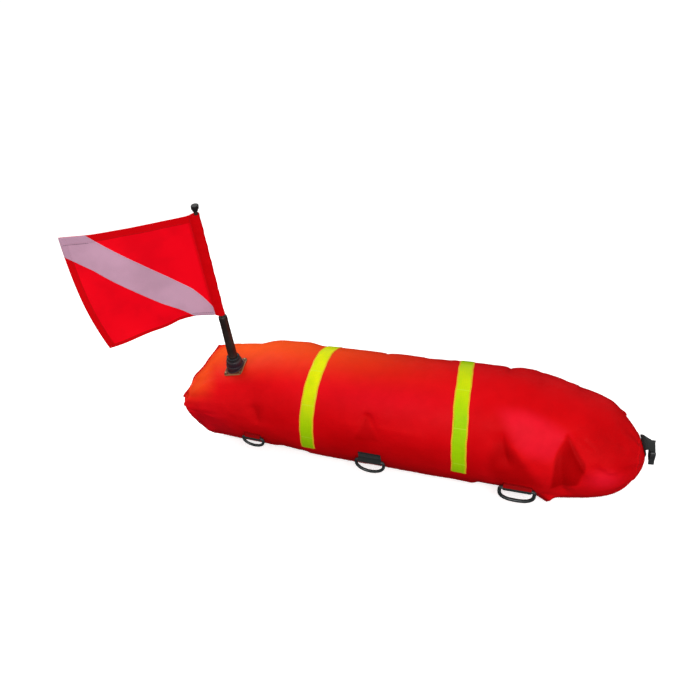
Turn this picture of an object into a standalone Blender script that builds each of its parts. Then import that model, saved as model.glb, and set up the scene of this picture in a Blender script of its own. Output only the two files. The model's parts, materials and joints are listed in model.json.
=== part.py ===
"""Inflatable dive flag float: a sewn nylon cover round an air bladder, with a
removable flag pole, reflective bands, three D-rings and a buckled tow strap.

Metres, +Z up.  Lengths below are measured from the bag's own centre line
(x along the bag, z = 0 at its axis); one empty carries every piece and puts
the bag's underside on z = 0 and the middle of the whole object on x = y = 0.
"""

import math

import bmesh
import bpy
from mathutils import Matrix, Vector

# ------------------------------------------------------------ dimensions
FLOOR = -0.0965            # flat underside of the bag, from the bag's axis
X_MID = 0.04867            # middle of the whole object, from the bag's axis
Y_MID = -0.00339

# bag outline by station: x, top, underside, height of the widest point,
# half width, sideways offset of the middle
STATIONS = (
    (-0.3060, 0.0330, 0.0270, 0.0300, 0.0700, 0.0050),
    (-0.2990, 0.0390, -0.0157, 0.0124, 0.0838, 0.0046),
    (-0.2860, 0.0480, -0.0819, 0.0100, 0.0850, 0.0034),
    (-0.2650, 0.0585, -0.0975, 0.0105, 0.0885, 0.0032),
    (-0.2350, 0.0685, -0.0985, 0.0080, 0.0887, 0.0031),
    (-0.1950, 0.0805, -0.0985, 0.0040, 0.0900, 0.0030),
    (-0.1500, 0.0935, -0.0975, 0.0015, 0.0915, 0.0025),
    (-0.0800, 0.0975, -0.0985, 0.0005, 0.0952, 0.0003),
    (0.0400, 0.0980, -0.0990, 0.0000, 0.0980, 0.0000),
    (0.1666, 0.1000, -0.1000, 0.0000, 0.1000, 0.0000),
    (0.2700, 0.1040, -0.1000, 0.0000, 0.1010, -0.0036),
    (0.3200, 0.0920, -0.1003, -0.0040, 0.1007, -0.0039),
    (0.3700, 0.0815, -0.0955, -0.0082, 0.0907, -0.0055),
    (0.4100, 0.0675, -0.0879, -0.0137, 0.0805, -0.0050),
    (0.4350, 0.0442, -0.0759, -0.0196, 0.0653, -0.0062),
    (0.4550, 0.0200, -0.0570, -0.0220, 0.0430, -0.0060),
    (0.4680, -0.0070, -0.0400, -0.0240, 0.0200, -0.0065),
    (0.4720, -0.0180, -0.0300, -0.0240, 0.0080, -0.0065),
)
BAG_X0, BAG_X1 = STATIONS[0][0], STATIONS[-1][0]
RINGS_AROUND = 36          # points round the bag

COVER_T = 0.0015           # coated cover fabric with its seam allowances
GAP = 0.0003               # clearance between pieces that touch

BAND_W = 0.0250            # reflective tape
BAND_LEFT_X = -0.0813
BAND_RIGHT_X = 0.1666
BAND_T = 0.0010
BAND_LEFT_DROP = 14.0      # degrees below the bag's widest line where it ends
BAND_RIGHT_DROP = 8.5

RING_SPOTS = (             # name, x, drop below the widest line in degrees, then the ring:
    ("left", -0.1780, 15.5, 0.0330, 0.0205, 0.0050),     # clear width inside, bar centre to
    ("middle", 0.0370, 12.5, 0.0425, 0.0275, 0.0054),    # the middle of the bow, wire
    ("right", 0.2800, 14.5, 0.0490, 0.0290, 0.0060),
)
TAB_SIDE = 0.0020          # the tab is this much narrower than the ring on each side
TAB_T = 0.0012
TAB_LONG = 0.0165          # sewn length of the middle tab
TAB_SHORT = 0.0085         # sewn length of the two outer tabs

POLE_X, POLE_Y = -0.2205, -0.0160
FLANGE = 0.0360            # square flange of the pole socket
FLANGE_T = 0.0024
BOSS_R, BOSS_H = 0.0140, 0.0205
COLLAR_R, COLLAR_H = 0.0112, 0.0062
TUBE_R0, TUBE_R1 = 0.0078, 0.0060
ROD_R = 0.0030
CAP_R = 0.0056
FLAG_Z0, FLAG_H = 0.1925, 0.1890     # lower hoist corner, hoist height
FLAG_L_TOP, FLAG_L_LOW = 0.1965, 0.1840
FLAG_PSI_TOP, FLAG_PSI_LOW = 27.0, 34.0   # swing of the cloth off the bag's line
FLAG_T = 0.0012
SLEEVE_R = 0.0048

VALVE_X, VALVE_ANGLE = -0.1150, 3.0       # on the far side, above the widest line

STRAP_W, STRAP_T = 0.0200, 0.0014
STRAP_Y, STRAP_Z = 0.0060, -0.0070        # middle of the buckle's bar
STRAP_ROLL = 10.0                         # its near edge hangs lower
STRAP_RISE = 0.0130                       # the strap leaves the bag this much above the bar
BAR_X, BAR_R = 0.4845, 0.0018             # bar of the buckle
BUCKLE_W, BUCKLE_NOSE, BUCKLE_T, BUCKLE_L = 0.0270, 0.0190, 0.0080, 0.0445
BUCKLE_SWING = 6.6


# ------------------------------------------------------------ scene start
for old in list(bpy.data.objects):
    bpy.data.objects.remove(old, do_unlink=True)

root = bpy.data.objects.new("float_axis", None)
bpy.context.scene.collection.objects.link(root)
root.location = (-X_MID, -Y_MID, -FLOOR)


def material(name, colour, roughness, metallic=0.0):
    mat = bpy.data.materials.new(name)
    mat.use_nodes = True
    shader = mat.node_tree.nodes["Principled BSDF"]
    shader.inputs["Base Color"].default_value = (*colour, 1.0)
    shader.inputs["Roughness"].default_value = roughness
    shader.inputs["Metallic"].default_value = metallic
    return mat


RED = (0.72, 0.012, 0.012)
BLACK = (0.012, 0.012, 0.013)


def place(name, mesh, mat, at=(0, 0, 0), parent=None, sharp=35.0):
    """Object of this mesh at a spot on the bag's axis frame."""
    mesh.materials.clear()
    mesh.materials.append(mat)
    mesh.shade_smooth()
    mesh.set_sharp_from_angle(angle=math.radians(sharp))
    obj = bpy.data.objects.new(name, mesh)
    bpy.context.scene.collection.objects.link(obj)
    obj.parent = parent or root
    obj.location = at
    return obj


def finish_bmesh(name, bm):
    bmesh.ops.recalc_face_normals(bm, faces=bm.faces)
    mesh = bpy.data.meshes.new(name)
    bm.to_mesh(mesh)
    bm.free()
    return mesh


def loft(name, loops, closed_ends=True, shift=(0, 0, 0)):
    """Closed skin over loops of equal length, with flat ends."""
    bm = bmesh.new()
    s = Vector(shift)
    rows = [[bm.verts.new(Vector(p) - s) for p in loop] for loop in loops]
    n = len(rows[0])
    for a, b in zip(rows, rows[1:]):
        for i in range(n):
            bm.faces.new((a[i], a[(i + 1) % n], b[(i + 1) % n], b[i]))
    if closed_ends:
        for row in (rows[0], rows[-1]):
            bm.faces.new(row)
    return finish_bmesh(name, bm)


def turned(name, profile, steps=24):
    """Solid of revolution round Z from a closed (radius, height) outline."""
    bm = bmesh.new()
    verts = [bm.verts.new((r, 0.0, z)) for r, z in profile]
    n = len(verts)
    on_axis = [r < 1e-7 for r, _ in profile]
    edges = [bm.edges.new((verts[i], verts[(i + 1) % n])) for i in range(n)
             if not (on_axis[i] and on_axis[(i + 1) % n])]
    bmesh.ops.spin(bm, geom=verts + edges, cent=(0, 0, 0), axis=(0, 0, 1),
                   angle=math.tau, steps=steps, use_merge=True)
    bmesh.ops.remove_doubles(bm, verts=bm.verts, dist=1e-6)
    return finish_bmesh(name, bm)


def ribbon(name, path, thick, lo, hi, axis, shift=(0, 0, 0)):
    """Flat strap: a 2-D path thickened and extruded from lo to hi along axis."""
    n = len(path)
    left, right = [], []
    for i, (a, b) in enumerate(path):
        p, q = path[max(0, i - 1)], path[min(n - 1, i + 1)]
        d = Vector((q[0] - p[0], q[1] - p[1]))
        d.normalize()
        left.append((a - d.y * thick / 2, b + d.x * thick / 2))
        right.append((a + d.y * thick / 2, b - d.x * thick / 2))
    outline = left + right[::-1]

    def spot(a, b, c):
        return {"X": (c, a, b), "Y": (a, c, b), "Z": (a, b, c)}[axis]

    return loft(name, [[spot(a, b, lo) for a, b in outline],
                       [spot(a, b, hi) for a, b in outline]], shift=shift)


def cut(obj, cutter):
    mod = obj.modifiers.new("cut", "BOOLEAN")
    mod.operation = "DIFFERENCE"
    mod.solver = "EXACT"
    mod.object = cutter
    cutter.hide_render = True
    cutter.display_type = "WIRE"


def join(obj, other):
    mod = obj.modifiers.new("join", "BOOLEAN")
    mod.operation = "UNION"
    mod.solver = "EXACT"
    mod.object = other
    other.hide_render = True
    other.display_type = "WIRE"


# ------------------------------------------------------------ bag surface
def slopes(xs, ys):
    """Slopes of a smooth curve that never overshoots its points."""
    n = len(xs)
    h = [xs[i + 1] - xs[i] for i in range(n - 1)]
    s = [(ys[i + 1] - ys[i]) / h[i] for i in range(n - 1)]
    m = [s[0]] + [0.0] * (n - 2) + [s[-1]]
    for i in range(1, n - 1):
        if s[i - 1] * s[i] > 0:
            w1, w2 = 2 * h[i] + h[i - 1], h[i] + 2 * h[i - 1]
            m[i] = (w1 + w2) / (w1 / s[i - 1] + w2 / s[i])
    return m


COLUMNS = [[row[k] for row in STATIONS] for k in range(6)]
SLOPES = [None] + [slopes(COLUMNS[0], COLUMNS[k]) for k in range(1, 6)]


def section(x):
    """top, underside, widest height, half width and offset at this station."""
    xs = COLUMNS[0]
    x = min(max(x, xs[0]), xs[-1])
    i = 0
    while i < len(xs) - 2 and x > xs[i + 1]:
        i += 1
    h = xs[i + 1] - xs[i]
    t = (x - xs[i]) / h
    out = []
    for k in range(1, 6):
        y0, y1 = COLUMNS[k][i], COLUMNS[k][i + 1]
        m0, m1 = SLOPES[k][i] * h, SLOPES[k][i + 1] * h
        out.append((2 * t**3 - 3 * t**2 + 1) * y0 + (t**3 - 2 * t**2 + t) * m0
                   + (-2 * t**3 + 3 * t**2) * y1 + (t**3 - t**2) * m1)
    return out


def skin(x, angle, inset=0.0, end=0.0):
    """Point of the bag: angle 0 on the near side, 90 degrees on top."""
    top, low, wide, half, mid = section(x)
    c, s = math.cos(angle), math.sin(angle)
    y = mid - (half - inset) * c
    rise = (top - wide) if s >= 0 else (wide - low)
    z = wide + (rise - inset) * s
    z = max(z, FLOOR + inset)
    centre = 0.5 * (BAG_X0 + BAG_X1)
    x = centre + (x - centre) * (1.0 - 2.0 * end / (BAG_X1 - BAG_X0))
    return Vector((x, y, z))


def top_height(x, y, lift=0.0):
    top, low, wide, half, mid = section(x)
    u = (y - mid) / half
    return wide + (top - wide) * math.sqrt(max(0.0, 1.0 - u * u)) + lift


def outward(x, angle):
    e = 1e-4
    dx = skin(x + e, angle) - skin(x - e, angle)
    da = skin(x, angle + 0.01) - skin(x, angle - 0.01)
    n = da.cross(dx)
    n.normalize()
    if n.y * -math.cos(angle) + n.z * math.sin(angle) < 0:
        n = -n
    return n


def spread(a, b, n):
    return [a + (b - a) * i / (n - 1) for i in range(n)]


BAG_XS = ([-0.3060, -0.3035, -0.2990, -0.2925, -0.2840, -0.2720]
          + spread(-0.2560, BAND_LEFT_X, 7) + [BAND_LEFT_X + BAND_W]
          + spread(-0.0100, 0.1200, 3) + [BAND_RIGHT_X, BAND_RIGHT_X + BAND_W]
          + spread(0.2250, 0.3250, 4)
          + [0.3500, 0.3740, 0.3970, 0.4170, 0.4340, 0.4470, 0.4570,
             0.4640, 0.4690, 0.4720])
LINING_XS = ([-0.3060, -0.3000, -0.2900, -0.2700] + spread(-0.2450, BAND_LEFT_X, 5)
             + [0.0400, BAND_RIGHT_X, 0.2700, 0.3300, 0.3800, 0.4200, 0.4450, 0.4600, 0.4690,
                0.4720])


def hollow(name, outer, inner):
    """Closed bag wall: outer skin and inner skin in one body."""
    bm = bmesh.new()
    for flip, (xs, n, inset, end) in ((False, outer), (True, inner)):
        rows = [[bm.verts.new(skin(x, math.tau * i / n, inset, end)) for i in range(n)]
                for x in xs]
        faces = []
        for a, b in zip(rows, rows[1:]):
            for i in range(n):
                faces.append(bm.faces.new((a[i], a[(i + 1) % n], b[(i + 1) % n], b[i])))
        for row in (rows[0], rows[-1]):
            faces.append(bm.faces.new(row))
        bmesh.ops.recalc_face_normals(bm, faces=faces)
        if flip:
            bmesh.ops.reverse_faces(bm, faces=faces)
    mesh = bpy.data.meshes.new(name)
    bm.to_mesh(mesh)
    bm.free()
    return mesh


mat_cover = material("cover_nylon_red", RED, 0.42)
mat_bladder = material("bladder_film", (0.75, 0.74, 0.70), 0.35)
mat_tape = material("reflective_tape", (0.55, 0.85, 0.02), 0.30)
mat_black = material("black_plastic", BLACK, 0.45)
mat_webbing = material("black_webbing", (0.010, 0.012, 0.011), 0.80)
mat_webbing_red = material("dark_red_webbing", (0.16, 0.006, 0.008), 0.75)
mat_rubber = material("black_rubber", (0.016, 0.016, 0.018), 0.60)
mat_pole = material("pole_plastic", (0.020, 0.018, 0.016), 0.38)
mat_flag = material("flag_red", (0.80, 0.006, 0.020), 0.62)
mat_stripe = material("flag_white", (0.62, 0.50, 0.55), 0.65)
mat_steel = material("steel", (0.62, 0.62, 0.60), 0.30, 1.0)
mat_flange = material("socket_flange", (0.028, 0.022, 0.020), 0.50)

cover = place("cover_shell", hollow("cover_shell", (BAG_XS, RINGS_AROUND, 0.0, 0.0),
                                   (LINING_XS, 28, COVER_T, COVER_T)),
              mat_cover)

BLADDER_XS = [-0.2950, -0.2800, -0.2550, -0.2150, -0.1500, -0.0500, 0.1000,
              0.2500, 0.3300, 0.3800, 0.4200, 0.4450, 0.4600]
bladder = place("air_bladder", hollow("air_bladder", (BLADDER_XS, 20, 0.0066, 0.0075),
                                      (BLADDER_XS, 20, 0.0080, 0.0092)), mat_bladder)

# left end: the seam allowance, turned and bound, along the flat seam
seam_x = BAG_X0 - GAP
seam_loops = []
for i in range(13):
    y = 0.0050 - 0.0690 + 0.1380 * i / 12
    bow = 0.0006 * (1 - ((i - 6) / 6) ** 2)
    ring = []
    for k in range(8):
        a = math.tau * k / 8
        ring.append((seam_x - 0.0022 + 0.0020 * math.cos(a) - bow * 0, y,
                     0.0300 + 0.0022 * math.sin(a)))
    seam_loops.append(ring)
place("end_seam_binding", loft("end_seam_binding", seam_loops), mat_cover)


# reinforcement patch over the closed right end
def patch_over_end(name, x0, inner, outer):
    xs = [x0] + [x for x in BAG_XS if x > x0 + 1e-6]
    bm = bmesh.new()
    n = RINGS_AROUND
    rows = []
    for inset, end in ((-inner, -inner), (-outer, -outer)):
        rows.append([[bm.verts.new(skin(x, math.tau * i / n, inset, end)) for i in range(n)]
                     for x in xs])
    for row in rows:
        for a, b in zip(row, row[1:]):
            for i in range(n):
                bm.faces.new((a[i], a[(i + 1) % n], b[(i + 1) % n], b[i]))
        bm.faces.new(row[-1])
    for i in range(n):
        bm.faces.new((rows[0][0][i], rows[0][0][(i + 1) % n],
                      rows[1][0][(i + 1) % n], rows[1][0][i]))
    return finish_bmesh(name, bm)


place("end_patch", patch_over_end("end_patch", 0.4570, GAP, GAP + 0.0010), mat_cover)


# ------------------------------------------------------------ bands
def band(name, x0, drop):
    loops = []
    steps = 34
    a0, a1 = math.radians(-drop), math.radians(180 + drop)
    for i in range(steps + 1):
        a = a0 + (a1 - a0) * i / steps
        loops.append([skin(x0, a, -GAP), skin(x0 + BAND_W, a, -GAP),
                      skin(x0 + BAND_W, a, -GAP - BAND_T), skin(x0, a, -GAP - BAND_T)])
    return place(name, loft(name, loops), mat_tape)


band("reflective_band_left", BAND_LEFT_X, BAND_LEFT_DROP)
band("reflective_band_right", BAND_RIGHT_X, BAND_RIGHT_DROP)


# ------------------------------------------------------------ D-rings
def ring_mesh(name, inner, depth, wire):
    """D-ring wire round its own bar: bar along X at the origin, bow down -Z."""
    half = (inner + wire) / 2
    r = 0.0042
    pts = []
    for i in range(2):
        pts.append((-(half - r) + 2 * (half - r) * i, 0.0))
    for i in range(1, 4):
        a = math.radians(90 - 30 * i)
        pts.append((half - r + r * math.cos(a), -r + r * math.sin(a)))
    # bow: short straight legs, then half an oval
    leg = -0.259 * depth
    for i in range(19):
        a = math.pi * i / 18
        pts.append((half * math.cos(a) ** 1 if abs(math.cos(a)) > 1e-9 else 0.0,
                    leg - (depth + leg) * abs(math.sin(a)) ** 0.9))
    for i in range(2, -1, -1):
        a = math.radians(90 - 30 * i)
        if i == 0:
            continue
        pts.append((-(half - r) - r * math.cos(a), -r + r * math.sin(a)))
    curve = bpy.data.curves.new(name, "CURVE")
    curve.dimensions = "3D"
    curve.bevel_depth = wire / 2
    curve.bevel_resolution = 1
    spline = curve.splines.new("POLY")
    spline.points.add(len(pts) - 1)
    for p, (x, z) in zip(spline.points, pts):
        p.co = (x, 0.0, z, 1.0)
    spline.use_cyclic_u = True
    return curve


def bar_spot(x, drop, wire):
    a = math.radians(-drop)
    lift = GAP + TAB_T + GAP + wire / 2 + 0.0003
    return skin(x, a) + outward(x, a) * lift


def bar_turn(x, drop, inner):
    """Turn about Z that lays a bar along the bag's side here."""
    a = math.radians(-drop)
    d = skin(x + inner / 2, a) - skin(x - inner / 2, a)
    return math.atan2(d.y, d.x)


def tab(name, x, drop, inner, wire, sewn, mat):
    """Folded webbing: up the bag, round the bar, and back down over itself."""
    bar = bar_spot(x, drop, wire)
    wrap = wire / 2 + GAP + TAB_T / 2
    path = []
    a0 = math.radians(-drop)
    # inner layer on the bag, from the sewn edge down to the bar
    r_here = section(x)[3]
    top_a = a0 + sewn / r_here
    steps = 5
    inner_layer = []
    for i in range(steps):
        a = top_a + (a0 - top_a) * i / steps
        p = skin(x, a) + outward(x, a) * (GAP + TAB_T / 2)
        inner_layer.append((p.y - bar.y, p.z - bar.z))
    path += inner_layer
    n = outward(x, a0)
    start = math.atan2(-n.z, -n.y)          # direction from the bar to the bag
    for i in range(0, 13):
        # round the far side of the bar, going down first
        a = start - math.radians(240) * i / 12
        path.append((wrap * math.cos(a), wrap * math.sin(a)))
    outer_layer = []
    for rise in spread(0.0070, sewn - 0.0003, 4):
        a = a0 + rise / r_here
        p = skin(x, a) + outward(x, a) * (GAP + TAB_T * 1.5 + GAP)
        outer_layer.append((p.y - bar.y, p.z - bar.z))
    path += outer_layer
    reach = inner / 2 - TAB_SIDE
    mesh = ribbon(name, path, TAB_T, -reach, reach, "X")
    obj = place(name, mesh, mat, at=bar)
    obj.rotation_euler = (0.0, 0.0, bar_turn(x, drop, inner))
    return obj


for side, rx, drop, inner, depth, wire in RING_SPOTS:
    ring = bpy.data.objects.new("d_ring_" + side, ring_mesh("d_ring_" + side, inner, depth, wire))
    ring.data.materials.append(mat_black)
    bpy.context.scene.collection.objects.link(ring)
    ring.parent = root
    ring.location = bar_spot(rx, drop, wire)
    ring.rotation_euler = (0.0, 0.0, bar_turn(rx, drop, inner))
    middle = side == "middle"
    tab("ring_tab_" + side, rx, drop, inner, wire, TAB_LONG if middle else TAB_SHORT,
        mat_webbing if middle else mat_webbing_red)

# ------------------------------------------------------------ pole socket
POLE_Z = top_height(POLE_X, POLE_Y)


def pad(name, half, low, high, n=7, corner=0.004):
    """Square plate with rounded corners that follows the top of the bag."""
    bm = bmesh.new()
    rows = {}
    for side_, lift in ((0, low), (1, high)):
        grid = []
        for i in range(n):
            line = []
            for j in range(n):
                u, v = -1 + 2 * i / (n - 1), -1 + 2 * j / (n - 1)
                x, y = u * half, v * half
                if abs(u) > 0.99 and abs(v) > 0.99:
                    x, y = x * (1 - 0.29 * corner / half), y * (1 - 0.29 * corner / half)
                x += POLE_X
                y += POLE_Y
                line.append(bm.verts.new((x, y, top_height(x, y, lift))))
            grid.append(line)
        rows[side_] = grid
    for side_ in (0, 1):
        g = rows[side_]
        for i in range(n - 1):
            for j in range(n - 1):
                bm.faces.new((g[i][j], g[i + 1][j], g[i + 1][j + 1], g[i][j + 1]))
    a, b = rows[0], rows[1]
    edge = ([(i, 0) for i in range(n - 1)] + [(n - 1, j) for j in range(n - 1)]
            + [(i, n - 1) for i in range(n - 1, 0, -1)] + [(0, j) for j in range(n - 1, 0, -1)])
    for k in range(len(edge)):
        p, q = edge[k], edge[(k + 1) % len(edge)]
        bm.faces.new((a[p[0]][p[1]], a[q[0]][q[1]], b[q[0]][q[1]], b[p[0]][p[1]]))
    return finish_bmesh(name, bm)


def upright(name, r_low, r_high, z_low, z_high, at_x, at_y, steps=24, lift=None):
    """Plain upright cylinder or cone; with lift, its foot follows the bag."""
    low, high = [], []
    for i in range(steps):
        a = math.tau * i / steps
        x, y = at_x + r_low * math.cos(a), at_y + r_low * math.sin(a)
        z = z_low if lift is None else top_height(x, y, lift)
        low.append((x, y, z))
        high.append((at_x + r_high * math.cos(a), at_y + r_high * math.sin(a), z_high))
    return loft(name, [low, high])


LIFT = GAP                      # underside of the flange over the fabric
BOSS_TOP = POLE_Z + BOSS_H
BORE_FLOOR = POLE_Z + 0.0035
socket = place("pole_socket", pad("pole_socket", FLANGE / 2, LIFT, LIFT + FLANGE_T), mat_flange)
boss_loops = []
for lift, z, r in ((LIFT + 0.0008, None, BOSS_R + 0.0012), (LIFT + FLANGE_T + 0.0016, None, BOSS_R + 0.0010),
                   (None, POLE_Z + 0.0112, BOSS_R), (None, BOSS_TOP - 0.0010, BOSS_R - 0.0006),
                   (None, BOSS_TOP, BOSS_R - 0.0016)):
    loop = []
    for i in range(24):
        a = math.tau * i / 24
        x, y = POLE_X + r * math.cos(a), POLE_Y + r * math.sin(a)
        loop.append((x, y, top_height(x, y, lift) if z is None else z))
    boss_loops.append(loop)
boss = place("cut_boss_body", loft("cut_boss_body", boss_loops), mat_flange)
join(socket, boss)
bore = place("cut_pole_bore", upright("cut_pole_bore", TUBE_R0 + 0.0004, TUBE_R0 + 0.0004,
                                      BORE_FLOOR, BOSS_TOP + 0.004, POLE_X, POLE_Y), mat_flange)
cut(socket, bore)

# clamping collar on top of the boss, turned by hand to grip the pole
COLLAR_Z = BOSS_TOP + GAP
collar_profile = [(TUBE_R0 + 0.0005, 0.0), (COLLAR_R - 0.0006, 0.0), (COLLAR_R, 0.0006),
                  (COLLAR_R, COLLAR_H - 0.0012), (COLLAR_R - 0.0012, COLLAR_H),
                  (TUBE_R0 + 0.0005, COLLAR_H)]
collar = place("socket_collar", turned("socket_collar", collar_profile, 24), mat_black,
               at=(POLE_X, POLE_Y, COLLAR_Z))
notch_n = 8
for k in range(notch_n):
    a = math.tau * (k + 0.5) / notch_n
    m = bpy.data.meshes.new("cut_collar_grip_%d" % k)
    bm = bmesh.new()
    bmesh.ops.create_cone(bm, cap_ends=True, segments=8, radius1=0.0011, radius2=0.0011,
                          depth=0.02)
    bm.to_mesh(m)
    bm.free()
    c = place("cut_collar_grip_%d" % k, m, mat_black,
              at=(POLE_X + (COLLAR_R + 0.0003) * math.cos(a),
                  POLE_Y + (COLLAR_R + 0.0003) * math.sin(a), COLLAR_Z + COLLAR_H / 2))
    cut(collar, c)

# backing plate inside the cover, and the four rivets through both
PLATE_TOP, PLATE_T = -COVER_T - GAP - 0.0013, 0.0010     # the cover's wall leans here
plate = place("socket_backing_plate",
              pad("socket_backing_plate", 0.0165, PLATE_TOP - PLATE_T, PLATE_TOP, n=5),
              mat_black)
RIVET_OFF = 0.0138
for k, (sx, sy) in enumerate(((1, 1), (1, -1), (-1, -1), (-1, 1))):
    rx, ry = POLE_X + sx * RIVET_OFF, POLE_Y + sy * RIVET_OFF
    rz = top_height(rx, ry)
    # the flange slopes with the bag here, so the heads stand clear of its high side
    slope = 0.0
    for d in (0.0026,):
        for i in range(12):
            a = math.tau * i / 12
            slope = max(slope, top_height(rx + d * math.cos(a), ry + d * math.sin(a)) - rz)
    z_up = LIFT + FLANGE_T + slope + GAP
    z_dn = PLATE_TOP - PLATE_T - slope - GAP
    profile = [(0.0, z_up + 0.0013), (0.0014, z_up + 0.0011), (0.0024, z_up + 0.0004),
               (0.0026, z_up), (0.0014, z_up), (0.0014, z_dn), (0.0024, z_dn),
               (0.0024, z_dn - 0.0008), (0.0, z_dn - 0.0008)]
    place("socket_rivet_%d" % (k + 1), turned("socket_rivet_%d" % (k + 1), profile, 12),
          mat_steel, at=(rx, ry, rz))
    hole = place("cut_rivet_hole_%d" % (k + 1),
                 upright("cut_rivet_hole_%d" % (k + 1), 0.0017, 0.0017, rz - 0.008, rz + 0.0075,
                         rx, ry, steps=12), mat_steel)
    for target in (socket, cover, plate):
        cut(target, hole)

# ------------------------------------------------------------ pole
TUBE_Z0 = BORE_FLOOR + GAP
TUBE_Z1 = FLAG_Z0 - 0.0030
pole_at = Vector((POLE_X, POLE_Y, TUBE_Z0))
plug_h = 0.010
place("pole_foot_plug",
      turned("pole_foot_plug", [(0.0, 0.0), (TUBE_R0 - 0.0004, 0.0), (TUBE_R0, 0.0008),
                                (TUBE_R0, 0.0024), (0.0050, 0.0024), (0.0050, plug_h),
                                (0.0, plug_h)], 20),
      mat_rubber, at=pole_at)
z_a, z_top = 0.0024 + GAP, TUBE_Z1 - TUBE_Z0
step_z = BOSS_TOP + COLLAR_H + 0.004 - TUBE_Z0
tube_profile = [(0.0053, z_a), (TUBE_R0, z_a), (TUBE_R0, step_z), (TUBE_R0 - 0.0006, step_z + 0.001),
                (TUBE_R1 + 0.0004, z_top - 0.0100), (TUBE_R1 + 0.0004, z_top - 0.0015),
                (TUBE_R1 - 0.0004, z_top), (0.0042, z_top), (0.0042, z_top - 0.0180),
                (0.0053, z_top - 0.0200)]
place("pole_tube", turned("pole_tube", tube_profile, 20), mat_pole, at=pole_at)
ferr_h = 0.0140
place("rod_ferrule",
      turned("rod_ferrule", [(ROD_R + GAP / 2 + 0.0001, z_top - 0.0175), (0.0039, z_top - 0.0175),
                             (0.0039, z_top + 0.0012), (ROD_R + GAP / 2 + 0.0001, z_top + 0.0012)], 16),
      mat_steel, at=pole_at)
rod_z0 = z_top - 0.0170
rod_z1 = FLAG_Z0 + FLAG_H + 0.0085 - TUBE_Z0
place("flag_rod",
      turned("flag_rod", [(0.0, rod_z0), (ROD_R - 0.0004, rod_z0), (ROD_R, rod_z0 + 0.0006),
                          (ROD_R, rod_z1), (0.0, rod_z1)], 16),
      mat_pole, at=pole_at)
cap_z = FLAG_Z0 + FLAG_H + 0.0052 - TUBE_Z0
place("rod_end_cap",
      turned("rod_end_cap", [(ROD_R + GAP, cap_z), (CAP_R - 0.0008, cap_z), (CAP_R, cap_z + 0.0010),
                             (CAP_R, cap_z + 0.0062), (CAP_R - 0.0016, cap_z + 0.0084),
                             (0.0, cap_z + 0.0090), (0.0, cap_z + 0.0036),
                             (ROD_R + GAP, cap_z + 0.0036)], 18),
      mat_black, at=pole_at)


# ------------------------------------------------------------ flag
def flag_point(u, v):
    """Middle of the cloth: u from the hoist to the fly, v from below to the top."""
    psi = math.radians(FLAG_PSI_LOW + (FLAG_PSI_TOP - FLAG_PSI_LOW) * v)
    length = FLAG_L_LOW + (FLAG_L_TOP - FLAG_L_LOW) * v
    r = SLEEVE_R + (length - SLEEVE_R) * u
    bow = 0.0075 * math.sin(math.pi * u) * (0.6 + 0.4 * v)
    droop = 0.0065 * u * u * (1 - v) + 0.0040 * math.sin(math.pi * u) * v
    x = POLE_X - r * math.cos(psi) - bow * math.sin(psi)
    y = POLE_Y - r * math.sin(psi) + bow * math.cos(psi)
    return Vector((x, y, FLAG_Z0 + FLAG_H * v - droop))


def flag_normal(u, v):
    e = 0.002
    du = flag_point(min(1, u + e), v) - flag_point(max(0, u - e), v)
    dv = flag_point(u, min(1, v + e)) - flag_point(u, max(0, v - e))
    n = du.cross(dv)
    n.normalize()
    if n.y > 0:
        n = -n
    return n


LEVELS = 11
flag_loops = []
for k in range(LEVELS):
    v = k / (LEVELS - 1)
    psi = math.radians(FLAG_PSI_LOW + (FLAG_PSI_TOP - FLAG_PSI_LOW) * v)
    z = FLAG_Z0 + FLAG_H * v
    mids, norms = [], []
    us = spread(1.0, 0.03, 12)
    for u in us:
        mids.append(flag_point(u, v))
        n = flag_normal(u, v)
        n.z = 0.0
        n.normalize()
        norms.append(n)
    # sleeve: once round the rod, ending just short of the cloth again
    out_dir = Vector((-math.cos(psi), -math.sin(psi), 0.0))
    side_dir = Vector((math.sin(psi), -math.cos(psi), 0.0))     # towards -Y
    steps = 16
    first, last = math.radians(38), math.radians(318)
    for i in range(steps):
        a = first + (last - first) * i / (steps - 1)
        radial = out_dir * math.cos(a) + side_dir * math.sin(a)
        mids.append(Vector((POLE_X, POLE_Y, z)) + radial * SLEEVE_R)
        norms.append(radial)
    left = [p + n * FLAG_T / 2 for p, n in zip(mids, norms)]
    right = [p - n * FLAG_T / 2 for p, n in zip(mids, norms)]
    flag_loops.append(left + right[::-1])
flag_at = Vector((POLE_X, POLE_Y, FLAG_Z0))
place("flag_cloth", loft("flag_cloth", flag_loops, shift=flag_at), mat_flag, at=flag_at, sharp=60)


def stripe(name, sign):
    """White diagonal from the upper fly corner to the lower hoist corner."""
    loops = []
    cols = 9
    vs = [0.012] + spread(0.08, 0.826, 9) + [0.915, 0.988]
    for v in vs:
        ua = 0.075 if v <= 0.08 else 0.075 + (v - 0.08) / 0.92 * 0.725
        ub = min(0.992, 0.22 + v / 0.826 * 0.78)
        row_in, row_out = [], []
        for j in range(cols):
            u = ua + (ub - ua) * j / (cols - 1)
            n = flag_normal(u, v) * sign
            p = flag_point(u, v)
            row_in.append(p + n * (FLAG_T / 2 + 0.0003))
            row_out.append(p + n * (FLAG_T / 2 + 0.0009))
        loops.append(row_in + row_out[::-1])
    return place(name, loft(name, loops, shift=flag_at), mat_stripe, at=flag_at, sharp=60)


stripe("flag_stripe_front", 1)
stripe("flag_stripe_back", -1)

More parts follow.
